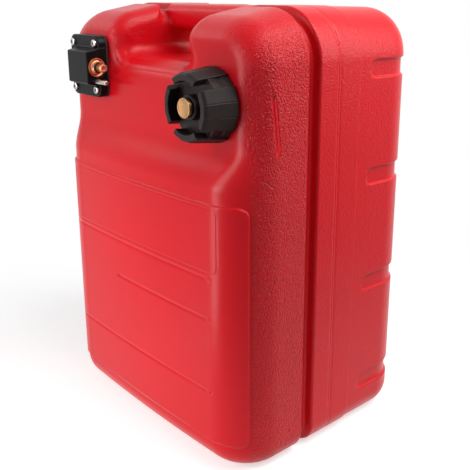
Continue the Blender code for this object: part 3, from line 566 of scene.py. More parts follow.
@dataclass(frozen=True)
class Finish:
    """A procedural finish with grain, painted shade in the grain's valleys, drift of tone and rubbed edges.

    Attributes:
        name: the material's name.
        color: base colour.
        worn_color: colour of rubbed edges.
        roughness: middle roughness.
        texture: kind of surface texture.
        metallic: 1 on metal.
        grain_scale: cells of the grain per metre.
        grain_height: height of the grain in metres.
        grain_amount: how much coarse grain a plain surface has.
        skin: how much fine skin the surface has.
        tone: how far the colour drifts.
        polish: how far the roughness drifts.
        wear: how rubbed the edges are.
        coat: weight of the clear sheen.
        specular: level of the dielectric reflection.
        masked: whether the mesh's own layer says where the coarse grain lies.
        valley_shade: how dark the painted shade in the grain's valleys is, beside the tops.
    """

    name: str
    color: Color
    worn_color: Color
    roughness: float
    texture: Texture = Texture.SPARK
    metallic: float = 0.0
    grain_scale: float = 900.0
    grain_height: float = 0.00006
    grain_amount: float = 0.5
    skin: float = 0.3
    tone: float = 0.12
    polish: float = 0.10
    wear: float = 0.4
    coat: float = 0.0
    specular: float = 0.5
    masked: bool = False
    valley_shade: float = 0.45

    def material(self) -> bpy.types.Material:
        """Build the material, or return it if it is there."""
        ready = bpy.data.materials.get(self.name)
        if ready:
            return ready
        made = bpy.data.materials.new(self.name)
        made.use_nodes = True
        made.diffuse_color = (*self.color, 1.0)
        tree = made.node_tree
        shader = tree.nodes["Principled BSDF"]
        shader.inputs["Metallic"].default_value = self.metallic
        shader.inputs["Coat Weight"].default_value = self.coat
        shader.inputs["Coat Roughness"].default_value = 0.25
        shader.inputs["Specular IOR Level"].default_value = self.specular
        vector = tree.nodes.new("ShaderNodeTexCoord").outputs["Object"]
        drift = self.placed(tree, "drift", vector, {})
        wear = self.placed(tree, "wear", vector, {"Amount": self.wear})
        grain = self.placed(tree, "grain", vector,
                            {"Scale": self.grain_scale, "Amount": self.grain_amount, "Skin": self.skin})
        if self.masked:
            layer = tree.nodes.new("ShaderNodeAttribute")
            layer.attribute_name = GRAIN_LAYER
            tree.links.new(layer.outputs["Fac"], grain.inputs["Amount"])
        self.paint(tree, shader, drift, wear, grain)
        self.roughen(tree, shader, drift, wear, grain)
        self.emboss(tree, shader, vector, grain)
        return made

    def placed(self, tree: bpy.types.NodeTree, name: str, vector: bpy.types.NodeSocket,
               values: dict[str, float]) -> bpy.types.Node:
        """Place a shared group in a tree.

        Args:
            tree: the material's tree.
            name: the group's short name.
            vector: its coordinates.
            values: its inputs.

        Returns:
            The group's node.
        """
        node = tree.nodes.new("ShaderNodeGroup")
        node.node_tree = Effects.group(name)
        tree.links.new(vector, node.inputs["Vector"])
        for label, value in values.items():
            node.inputs[label].default_value = value
        return node

    def paint(self, tree: bpy.types.NodeTree, shader: bpy.types.Node, drift: bpy.types.Node,
              wear: bpy.types.Node, grain: bpy.types.Node) -> None:
        """Link the base colour: it drifts, has painted shade in the grain's valleys and is paler on rubbed edges.
        """
        low = tuple(part * (1.0 - self.tone) for part in self.color)
        high = tuple(min(part * (1.0 + self.tone), 1.0) for part in self.color)
        base = tree.nodes.new("ShaderNodeMix")
        base.data_type = "RGBA"
        base.inputs["A"].default_value = (*low, 1.0)
        base.inputs["B"].default_value = (*high, 1.0)
        tone = math_node(tree, "MULTIPLY_ADD", drift.outputs["Fine"], FINE_SHARE,
                         math_node(tree, "MULTIPLY", drift.outputs["Broad"], BROAD_SHARE))
        tree.links.new(tone, base.inputs["Factor"])
        # Painted shade: the colour is darkened in the grain's valleys, where shade would fall.
        sunk = tree.nodes.new("ShaderNodeMix")
        sunk.data_type = "RGBA"
        sunk.inputs["B"].default_value = (*(part * self.valley_shade for part in self.color), 1.0)
        tree.links.new(base.outputs["Result"], sunk.inputs["A"])
        tree.links.new(grain.outputs["Mask"], sunk.inputs["Factor"])
        rubbed = tree.nodes.new("ShaderNodeMix")
        rubbed.data_type = "RGBA"
        rubbed.inputs["B"].default_value = (*self.worn_color, 1.0)
        tree.links.new(sunk.outputs["Result"], rubbed.inputs["A"])
        tree.links.new(wear.outputs["Mask"], rubbed.inputs["Factor"])
        tree.links.new(rubbed.outputs["Result"], shader.inputs["Base Color"])

    def roughen(self, tree: bpy.types.NodeTree, shader: bpy.types.Node, drift: bpy.types.Node,
                wear: bpy.types.Node, grain: bpy.types.Node) -> None:
        """Link the roughness: patchy, rougher in the grain's valleys, smoother on rubbed edges."""
        patchy = math_node(tree, "MULTIPLY_ADD", drift.outputs["Broad"], self.polish * 2,
                           self.roughness - self.polish)
        grained = math_node(tree, "MULTIPLY_ADD", grain.outputs["Mask"], self.polish, patchy)
        smoothed = math_node(tree, "MULTIPLY_ADD", wear.outputs["Mask"], -self.polish, grained)
        tree.links.new(math_node(tree, "MAXIMUM", smoothed, SMOOTHEST), shader.inputs["Roughness"])

    def emboss(self, tree: bpy.types.NodeTree, shader: bpy.types.Node, vector: bpy.types.NodeSocket,
               grain: bpy.types.Node) -> None:
        """Link the bump: mould grain, or fine rings on turned metal."""
        bump = tree.nodes.new("ShaderNodeBump")
        bump.inputs["Strength"].default_value = 1.0
        bump.inputs["Distance"].default_value = self.grain_height
        height = grain.outputs["Height"]
        if self.texture is Texture.TURNED:
            stretch = tree.nodes.new("ShaderNodeMapping")
            stretch.inputs["Scale"].default_value = (1.0, RING_STRETCH, 1.0)
            tree.links.new(vector, stretch.inputs["Vector"])
            rings = noise_node(tree, stretch.outputs["Vector"], self.grain_scale / 4, 3.0)
            height = math_node(tree, "MULTIPLY_ADD", rings, RING_RELIEF, height)
        tree.links.new(height, bump.inputs["Height"])
        tree.links.new(bump.outputs["Normal"], shader.inputs["Normal"])


# The red shell's grain valleys are darkened as painted shade (valley_shade).
RED_SHELL = Finish("red_shell", (0.64, 0.004, 0.011), (0.72, 0.030, 0.036), 0.29, Texture.LEATHER,
                   grain_scale=570.0, grain_height=0.00060, skin=0.03, tone=0.08, polish=0.04, wear=0.25,
                   specular=0.20, masked=True, valley_shade=0.72)
BLACK_MOULDED = Finish("black_moulded", (0.015, 0.009, 0.008), (0.075, 0.058, 0.050), 0.42,
                       grain_scale=1500.0, grain_height=0.00006, tone=0.25, wear=0.8, specular=0.16)
BLACK_HOUSING = Finish("black_housing", (0.005, 0.004, 0.004), (0.035, 0.031, 0.030), 0.34,
                       grain_scale=1800.0, grain_height=0.00003, tone=0.2, wear=0.6, specular=0.12)
SEAL_RUBBER = Finish("seal_rubber", (0.014, 0.014, 0.014), (0.040, 0.040, 0.040), 0.72,
                     grain_scale=1600.0, grain_height=0.00004, tone=0.2, wear=0.3)
VENT_BRASS = Finish("vent_brass", (0.38, 0.21, 0.095), (0.66, 0.46, 0.27), 0.36, Texture.TURNED, 1.0,
                    grain_scale=1400.0, grain_height=0.00002, tone=0.16, polish=0.10, wear=0.5)
NIPPLE_BRASS = Finish("nipple_brass", (0.74, 0.30, 0.15), (0.90, 0.58, 0.36), 0.40, Texture.TURNED, 1.0,
                      grain_scale=1400.0, grain_height=0.00002, tone=0.16, polish=0.08, wear=0.5)
BRIGHT_STEEL = Finish("bright_steel", (0.52, 0.50, 0.48), (0.80, 0.79, 0.77), 0.28, Texture.TURNED, 1.0,
                      grain_scale=1600.0, grain_height=0.00002, tone=0.08, polish=0.08, wear=0.5)
TUBE_POLYMER = Finish("tube_polymer", (0.62, 0.58, 0.50), (0.74, 0.70, 0.62), 0.42,
                      grain_scale=900.0, grain_height=0.00004, tone=0.10, wear=0.3)

NODE_FINISHES = {
    "connector_gasket": SEAL_RUBBER, "nipple_seal": SEAL_RUBBER, "cap_gasket": SEAL_RUBBER,
    "vent_washer": SEAL_RUBBER, "cap_liner": BLACK_MOULDED, "pickup_strainer": BLACK_MOULDED,
    "vent_bush": VENT_BRASS, "vent_stop_ring": BRIGHT_STEEL, "valve_plunger": BRIGHT_STEEL,
    "pickup_tube": TUBE_POLYMER,
    "wall_insert_1": VENT_BRASS, "wall_insert_2": VENT_BRASS, "wall_insert_3": VENT_BRASS,
    "wall_insert_4": VENT_BRASS,
}


def dress(piece: bpy.types.Object, finish: Finish) -> None:
    """Give an object one finish in place of the ones it has."""
    piece.data.materials.clear()
    piece.data.materials.append(finish.material())


def stand_in(piece: bpy.types.Object, body: str, slot: str, *nodes: str) -> None:
    """Set a piece to ride a body in place of CAD nodes.

    Args:
        piece: the new piece.
        body: the body that it rides on.
        slot: the record's material slot; not used.
        nodes: the nodes that it stands for.
    """
    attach(piece, body)
    if nodes:
        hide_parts(*nodes)
    log.info("%s on %s: %d points", piece.name, body, len(piece.data.vertices))


# Tank shell

@dataclass
class TankShell:
    """The blow-moulded shell with its humps, valley, handle, panel, groove and slots."""

    width: float = 0.340
    depth: float = 0.265
    height: float = 0.470
    wall: float = 0.0040
    front_corner_r: float = 0.050
    upper_corner_r: float = 0.029
    back_corner_r: float = 0.046
    bottom_edge_r: float = 0.027
    top_side_r: float = 0.053
    top_front_r: float = 0.030
    back_edge_r: float = 0.040
    shoulder_low: float = 0.300
    shoulder_high: float = 0.343
    recess: float = 0.0225
    face_crown: float = 0.0028
    hump_fall: float = 0.014
    fall_start: float = 0.395
    panel_lift: float = 0.0022
    panel_edge: float = 0.0022
    panel_low: float = 0.030
    panel_high: float = 0.289
    panel_wrap: float = 0.0245
    panel_corner_r: float = 0.010
    line_heights: tuple[float, ...] = (0.0879, 0.1683, 0.2115)
    line_starts: tuple[float, ...] = (-0.143, -0.041, -0.143)
    line_end: float = 0.118
    line_width: float = 0.0030
    line_depth: float = 0.0009
    dimple_gap: float = 0.0062
    dimple_r: float = 0.0020
    label_x: float = 0.1345
    label_low: float = 0.2180
    label_high: float = 0.2835
    label_corner_r: float = 0.0080
    label_width: float = 0.0011
    label_depth: float = 0.0004
    rib_low: tuple[float, float] = (-0.0810, 0.3389)
    rib_high: tuple[float, float] = (-0.0868, 0.3893)
    rib_width: float = 0.0018
    rib_border: float = 0.0013
    rib_depth: float = 0.0007
    rear_grain: float = 0.30
    grain_fade: float = 0.0100
    groove_front: float = -0.0420
    groove_width: float = 0.0150
    groove_depth: float = 0.0092
    groove_slope: float = 0.0030
    groove_foot_r: float = 0.0020
    groove_edge_r: float = 0.0018
    step_place: float = 0.0320
    step_depth: float = 0.0015
    step_run: float = 0.0018
    seam_depth: float = 0.00035
    seam_width: float = 0.0012
    slot_height: float = 0.0180
    slot_depth: float = 0.0026
    slot_edge: float = 0.0022
    slot_start: float = 0.0500
    slot_end_x: float = 0.0640
    slot_heights: tuple[float, ...] = (0.0494, 0.1716, 0.2938, 0.4080)
    valley_width: float = 0.120
    valley_floor: float = 0.414
    valley_top_r: float = 0.018
    valley_foot_r: float = 0.014
    valley_lip_r: float = 0.030
    bar_front: float = -0.0360
    bar_depth: float = 0.0400
    bar_height: float = 0.0270
    bar_r: float = 0.0120
    bar_below_top: float = 0.0006
    bar_fillet: float = 0.0100
    bar_root: float = 0.0120
    neck_x: float = 0.112
    neck_z: float = 0.380
    neck_hole_r: float = 0.0235
    port_x: float = -0.108
    port_z: float = 0.401
    port_r: float = 0.0150
    coarse: float = 0.0042
    fine: float = 0.0012
    inner_step: float = 0.0080
    upper_y: float = field(init=False)
    front_flat_y: float = field(init=False)

    def __post_init__(self) -> None:
        """Work out the planes that the sizes give."""
        front = -self.depth / 2
        self.upper_y = front + self.recess
        self.front_flat_y = front + self.face_crown + self.panel_lift

    def shoulder(self, z: Array) -> Array:
        """Return 0 on the lower front and 1 on the recessed upper wall."""
        along = (z - self.shoulder_low) / (self.shoulder_high - self.shoulder_low)
        return (1.0 - np.cos(pi * np.clip(along, 0.0, 1.0))) / 2.0

    def level(self, y: Array, z: Array) -> Array:
        """Return the height that a point has before the humps' tops fall to the front."""
        rise = self.height - self.fall_start
        back = np.clip((self.bar_front - y) / (self.bar_front - self.upper_y), 0.0, 1.0)
        squeeze = 1.0 - self.hump_fall * back / rise
        above = np.maximum(z - self.fall_start, 0.0)
        return z + above / squeeze - above

    def ends(self, x: Array, y: Array, level: Array) -> Array:
        """Return the distance to the shell's outline seen from the front, with rear step and flush seam."""
        side = np.abs(x) - self.width / 2
        rounded = meet(side, level - self.height, self.top_side_r)
        step = self.step_depth * ease((y - self.step_place) / self.step_run + 0.5)
        beside = (y / self.seam_width) ** 2
        return rounded + step + self.seam_depth * beside * np.exp(1.0 - beside)

    def walls(self, x: Array, y: Array, z: Array) -> Array:
        """Return the distance to the closed shell before anything is cut into it."""
        level = self.level(y, z)
        share = self.shoulder(level)
        ends = self.ends(x, y, level)
        high = ease((level - self.height + self.top_side_r) / self.top_side_r)
        corner = blend(self.front_corner_r, self.upper_corner_r, share)
        front_r = blend(corner, self.top_front_r, high)
        back_r = blend(self.back_corner_r, self.back_edge_r, high)
        reach = self.width / 2 - self.front_corner_r
        crown = self.face_crown * np.clip(1.0 - (x / reach) ** 2, 0.0, 1.0) * (1.0 - share)
        front = blend(self.front_flat_y, self.upper_y, share) - crown - y
        body = meet(ends, front, front_r)
        body = meet(body, y - self.depth / 2, back_r)
        return meet(body, -level, self.bottom_edge_r)

    def groove(self, x: Array, y: Array, z: Array) -> Array:
        """Return the distance to the groove that runs round the shell."""
        level = self.level(y, z)
        side = meet(np.abs(x) - self.width / 2, level - self.height, self.top_side_r)
        side = meet(side, -level, self.bottom_edge_r)
        sunk = np.clip(-side / self.groove_depth, 0.0, 1.0)
        rear = y - (self.groove_front + self.groove_width - self.groove_slope * sunk)
        return meet(np.maximum(self.groove_front - y, rear), -(side + self.groove_depth), self.groove_foot_r)

    def panel_mask(self, y: Array, z: Array) -> Array:
        """Return the distance to the raised front panel's border, seen from the side."""
        edge = -self.depth / 2 + self.panel_wrap
        middle, half = (self.panel_low + self.panel_high) / 2, (self.panel_high - self.panel_low) / 2
        return meet(y - edge, np.abs(z - middle) - half, self.panel_corner_r)

    def marks(self, x: Array, y: Array, z: Array) -> Array:
        """Return how far the surface is sunk by the panel's lines and the rear slots, raised negative."""
        front_only = ease((-self.depth / 2 + self.panel_wrap - y) / self.panel_edge)
        sunk = -self.panel_lift * ease(-self.panel_mask(y, z) / self.panel_edge)
        for height, start in zip(self.line_heights, self.line_starts):
            near = segment(x, z, start, self.line_end, height)
            sunk = sunk + self.line_depth * ease(1.0 - near / self.line_width) * front_only
            dot = np.hypot(x - self.line_end - self.dimple_gap, z - height)
            sunk = sunk + self.line_depth * ease(1.5 - dot / self.dimple_r) * front_only
        beside_rib = np.abs(self.rib_away(x, y, z) - self.rib_width)
        sunk = sunk + self.label(x, z) * front_only + self.rib_depth * ease(1.0 - beside_rib / self.rib_border)
        half = self.slot_height / 2
        for height in self.slot_heights:
            end = np.maximum(self.slot_start - y, self.slot_end_x - np.abs(x))
            around = np.hypot(np.maximum(end + half, 0.0), z - height) - half
            sunk = sunk + self.slot_depth * ease(0.5 - around / self.slot_edge)
        return sunk

    def label(self, x: Array, z: Array) -> Array:
        """Return how far the fine border of the bare label field is sunk."""
        middle, half = (self.label_low + self.label_high) / 2, (self.label_high - self.label_low) / 2
        border = rounded_box(x, z - middle, self.label_x, half, self.label_corner_r)
        return self.label_depth * ease(1.0 - np.abs(border) / self.label_width)

    def rib_away(self, x: Array, y: Array, z: Array) -> Array:
        """Return the distance to the short flush rib on the filler's side, which has a fine groove round it."""
        (low_y, low_z), (high_y, high_z) = self.rib_low, self.rib_high
        share = (z - low_z) / (high_z - low_z)
        across = np.abs(y - low_y - share * (high_y - low_y))
        beyond = np.maximum(np.maximum(low_z - z, z - high_z), 0.0)
        return np.where(x > 0.0, np.hypot(across, beyond), self.width)

    def valley(self, x: Array, z: Array) -> Array:
        """Return the distance to the valley between the humps."""
        return meet(np.abs(x) - self.valley_width / 2, self.valley_floor - z, self.valley_foot_r)

    def bar(self, x: Array, y: Array, z: Array) -> Array:
        """Return the distance to the handle bar across the valley."""
        middle_y = self.bar_front + self.bar_depth / 2
        middle_z = self.height - self.bar_below_top - self.bar_height / 2
        section = rounded_box(y - middle_y, z - middle_z, self.bar_depth / 2, self.bar_height / 2, self.bar_r)
        return np.maximum(section, np.abs(x) - self.valley_width / 2 - self.bar_root)

    def outer(self, x: Array, y: Array, z: Array) -> Array:
        """Return the distance to the shell's whole outer surface."""
        body = cut(self.walls(x, y, z), self.groove(x, y, z), self.groove_edge_r)
        lip = ease((z - self.valley_floor) / self.valley_lip_r)
        edge_r = blend(self.valley_lip_r, self.valley_top_r, lip)
        body = cut(body, self.valley(x, z), edge_r)
        within = ease((self.valley_width / 2 + self.bar_root - np.abs(x)) / (2 * self.bar_root))
        body = join(body, self.bar(x, y, z), self.bar_fillet * within + self.bar_below_top)
        return body + self.marks(x, y, z)

    def inner(self, x: Array, y: Array, z: Array) -> Array:
        """Return the distance to the shell's hollow."""
        body = cut(self.walls(x, y, z), self.groove(x, y, z), self.groove_edge_r)
        return cut(body, self.valley(x, z), self.valley_top_r) + self.wall

    def grid(self) -> tuple[Array, Array, Array]:
        """Return the grid planes, closer where the shell has fine forms."""
        half_x, half_y = self.width / 2, self.depth / 2
        edge = 2 * self.fine
        wall = self.valley_width / 2
        x_bands = [(way * wall - edge, way * wall + edge) for way in (-1, 1)]
        x_bands += [(way * self.label_x - edge, way * self.label_x + edge) for way in (-1, 1)]
        x_bands.append((self.line_end, self.line_end + self.dimple_gap + edge))
        groove_back = self.groove_front + self.groove_width
        wrap = -half_y + self.panel_wrap
        y_bands = [(self.groove_front - edge, groove_back + edge), (wrap - self.panel_edge - edge, wrap + edge),
                   (self.rib_high[0] - edge, self.rib_low[0] + edge),
                   (-edge, edge), (self.step_place - edge, self.step_place + edge)]
        z_bands = [(height - self.line_width, height + self.line_width) for height in self.line_heights]
        z_bands += [(height - edge, height + edge) for height in (self.label_low, self.label_high)]
        for height in self.slot_heights:
            for way in (-1, 1):
                border = height + way * self.slot_height / 2
                z_bands.append((border - edge, border + edge))
        for border in (self.panel_low, self.panel_high):
            z_bands.append((border - self.panel_edge, border + self.panel_edge))
        spare = 2 * self.coarse
        return (planes(-half_x - spare, half_x + spare, self.coarse, self.fine, x_bands),
                planes(-half_y - spare, half_y + spare, self.coarse, self.fine, y_bands),
                planes(-spare, self.height + spare, self.coarse, self.fine, z_bands))

    def grain(self, points: Array) -> Array:
        """Return how coarse the mould grain is: none on the panel and the front's plain faces."""
        x, y, z = points.T
        panel = ease(self.panel_mask(y, z) / self.panel_edge)
        beside = ease((y + self.depth / 2 - self.panel_wrap) / (2 * self.panel_edge) + 0.5)
        flat_side = ease((np.abs(x) - self.width / 2 + self.upper_corner_r) / self.upper_corner_r)
        hump_wall = ease((z - self.valley_floor) / self.valley_foot_r)
        rear = blend(1.0, self.rear_grain, ease((y - self.groove_front) / self.grain_fade))
        smooth = ease(self.rib_away(x, y, z) / self.rib_width - 1.0)
        grained = panel * beside * rear * smooth * np.maximum(flat_side, self.rear_grain * hump_wall)
        return np.clip(grained, 0.0, 1.0)

    def build(self) -> bpy.types.Object:
        """Mesh the shell: its outer skin and its hollow, open at the filler and at the port."""
        outer = self.opened(net(self.outer, self.grid(), bend_reach=SHELL_BEND))
        step = self.inner_step
        half_x, half_y = self.width / 2, self.depth / 2
        grid = (planes(-half_x, half_x, step, step), planes(-half_y, half_y, step, step),
                planes(0.0, self.height, step, step))
        inner = self.opened(net(self.inner, grid, bend_reach=SHELL_BEND))
        inner.quads = inner.quads[:, ::-1] + len(outer.points)
        whole = Net(np.concatenate([outer.points, inner.points]), np.concatenate([outer.quads, inner.quads]),
                    np.concatenate([outer.normals, -inner.normals]),
                    np.concatenate([outer.wear, np.zeros(len(inner.points))]))
        piece = net_object("tank_skin", whole, self.grain(whole.points))
        dress(piece, RED_SHELL)
        stand_in(piece, TANK_BODY, "red_polyethylene", "tank_shell")
        return piece

    def opened(self, made: Net) -> Net:
        """Return a net without its faces over the filler's bore and the connector's port."""
        centre = made.points[made.quads].mean(axis=1)
        front = centre[:, 1] < self.upper_y + 2 * self.wall
        neck = np.hypot(centre[:, 0] - self.neck_x, centre[:, 2] - self.neck_z) < self.neck_hole_r
        port = np.hypot(centre[:, 0] - self.port_x, centre[:, 2] - self.port_z) < self.port_r
        made.quads = made.quads[~(front & (neck | port))]
        return made


# Filler neck, cap and vent

@dataclass
class Filler:
    """The filler's threaded neck, the screw cap with its four lugs, and the vent screw."""

    x: float = 0.112
    z: float = 0.380
    wall_y: float = -0.110
    neck_bore_r: float = 0.0215
    neck_r: float = 0.0260
    neck_length: float = 0.0160
    neck_inside: float = 0.0070
    thread_depth: float = 0.0011
    thread_pitch: float = 0.0050
    cap_gap: float = 0.0005
    cap_base_r: float = 0.0360
    cap_front_r: float = 0.0315
    cap_length: float = 0.0360
    cap_body_r: float = 0.0326
    bore_r: float = 0.0265
    cap_inner: float = 0.0198
    cap_disc: float = 0.0224
    boss_r: float = 0.0118
    boss_end: float = 0.0310
    bush_hole_r: float = 0.0063
    lug_count: int = 4
    lug_half_angle: float = radians(35.0)
    lug_facet: float = radians(22.0)
    lug_thickness: float = 0.0070
    lug_chamfer: float = 0.0030
    lug_line: float = 0.0008
    lug_line_depth: float = 0.0005
    lug_turn: float = 0.0
    soft: float = 0.0012
    grid_step: float = 0.00075
    vent_head_r: float = 0.0094
    vent_seat: float = 0.0328
    vent_head: float = 0.0034
    vent_rim: float = 0.0014
    vent_sink: float = 0.0010
    vent_ring_r: float = 0.0048
    vent_ring: float = 0.0005
    vent_stem_r: float = 0.0030
    vent_tail: float = 0.0129

    def axis(self) -> Matrix:
        """Return the cap's frame: Z runs out of the tank from the cap's back."""
        return facing((self.x, self.wall_y - self.cap_gap, self.z), (0, -1, 0))

    def neck(self) -> bpy.types.Object:
        """Lathe the neck with its screw thread."""
        start, end = -self.neck_inside, self.neck_length - self.cap_gap
        steps = 44
        outer = [Corner(self.neck_r, end - (end - start) * step / steps) for step in range(1, steps + 1)]
        corners = [Corner(self.neck_bore_r, start), Corner(self.neck_bore_r, end - self.soft),
                   Corner(self.neck_bore_r + self.soft, end), Corner(self.neck_r - self.thread_depth, end),
                   *outer]

        def threaded(radius: float, angle: float, along: float) -> float:
            """Sink the outer radius between the thread's turns."""
            if radius < self.neck_r or along < 0.0:
                return radius
            phase = along / self.thread_pitch + angle / (2 * pi)
            ridge = max(cos(2 * pi * phase), 0.0)
            fade = min((end - along) / self.thread_pitch, 1.0)
            return radius - self.thread_depth * (1.0 - ridge * fade)

        piece = lathe("filler_neck", corners, self.axis(), 96, threaded)
        dress(piece, RED_SHELL)
        stand_in(piece, TANK_BODY, "red_polyethylene")
        return piece

    def cap_shape(self, u: Array, v: Array, w: Array) -> Array:
        """Return the distance to the cap in its own frame, w along its axis."""
        radius = np.hypot(u, v)
        angle = np.arctan2(v, u) - self.lug_turn
        turn = 2 * pi / self.lug_count
        around = np.abs((angle + turn / 2) % turn - turn / 2)
        share = np.clip(w / self.cap_length, 0.0, 1.0)
        outer_r = blend(self.cap_base_r, self.cap_front_r, share)
        side = (around - self.lug_half_angle) * radius
        inner_r = outer_r - self.lug_thickness
        half_facet = self.lug_facet / 2
        facet = np.maximum(around - half_facet, 0.0)
        flat_r = np.where(facet > 0.0, np.cos(around - self.lug_facet), np.cos(around)) * radius
        line = self.lug_line_depth * ease(1.0 - np.abs(around - half_facet) * radius / self.lug_line)
        chamfer = flat_r - outer_r + line + np.maximum(w - self.cap_length + self.lug_chamfer, 0.0) / 2
        lug = meet(meet(chamfer, side, self.soft), inner_r - radius, self.soft)
        lug = meet(meet(lug, w - self.cap_length, self.soft), -w, self.soft / 2)
        foot = meet(radius - outer_r + self.soft, w - self.cap_length / 4, self.soft)
        skirt = join(meet(radius - self.cap_body_r, w - self.cap_disc, self.soft), foot, self.soft)
        boss = meet(radius - self.boss_r, w - self.boss_end, self.soft)
        body = join(join(skirt, boss, self.soft), lug, self.soft / 2)
        body = meet(body, -w, self.soft / 2)
        hollow = np.maximum(radius - self.bore_r, w - self.cap_inner)
        bush = radius - self.bush_hole_r
        return cut(body, np.minimum(hollow, bush), self.soft / 3)

    def cap(self) -> bpy.types.Object:
        """Mesh the cap and turn it into place."""
        reach = self.cap_base_r + 3 * self.grid_step
        flat = planes(-reach, reach, self.grid_step, self.grid_step)
        along = planes(-3 * self.grid_step, self.cap_length + 3 * self.grid_step, self.grid_step, self.grid_step)
        made = net(self.cap_shape, (flat, flat, along), bend_reach=FITTING_BEND)
        piece = net_object("screw_cap", made)
        piece.data.transform(self.axis())
        dress(piece, BLACK_MOULDED)
        stand_in(piece, CAP_BODY, "black_plastic", "cap_shell")
        return piece

    def vent(self) -> bpy.types.Object:
        """Lathe the vent screw with its sunk, rimmed face."""
        face = self.vent_seat + self.vent_head
        rim_r = self.vent_head_r - self.vent_rim
        soft = self.vent_sink / 2
        corners = [Corner(0.0, self.vent_tail), Corner(self.vent_stem_r, self.vent_tail, soft),
                   Corner(self.vent_stem_r, self.vent_seat), Corner(self.vent_head_r, self.vent_seat, soft),
                   Corner(self.vent_head_r, face, soft), Corner(rim_r, face, soft),
                   Corner(rim_r - self.vent_sink, face - self.vent_sink, soft),
                   Corner(self.vent_ring_r, face - self.vent_sink, soft / 2),
                   Corner(self.vent_ring_r - self.vent_ring, face - self.vent_sink - self.vent_ring, soft / 2),
                   Corner(0.0, face - self.vent_sink - self.vent_ring)]
        piece = lathe("vent_knob", corners, self.axis(), 72)
        dress(piece, VENT_BRASS)
        stand_in(piece, VENT_BODY, "brass", "vent_screw")
        return piece

    def build(self) -> list[bpy.types.Object]:
        """Build the neck, the cap and the vent screw."""
        return [self.neck(), self.cap(), self.vent()]


# Fuel connector

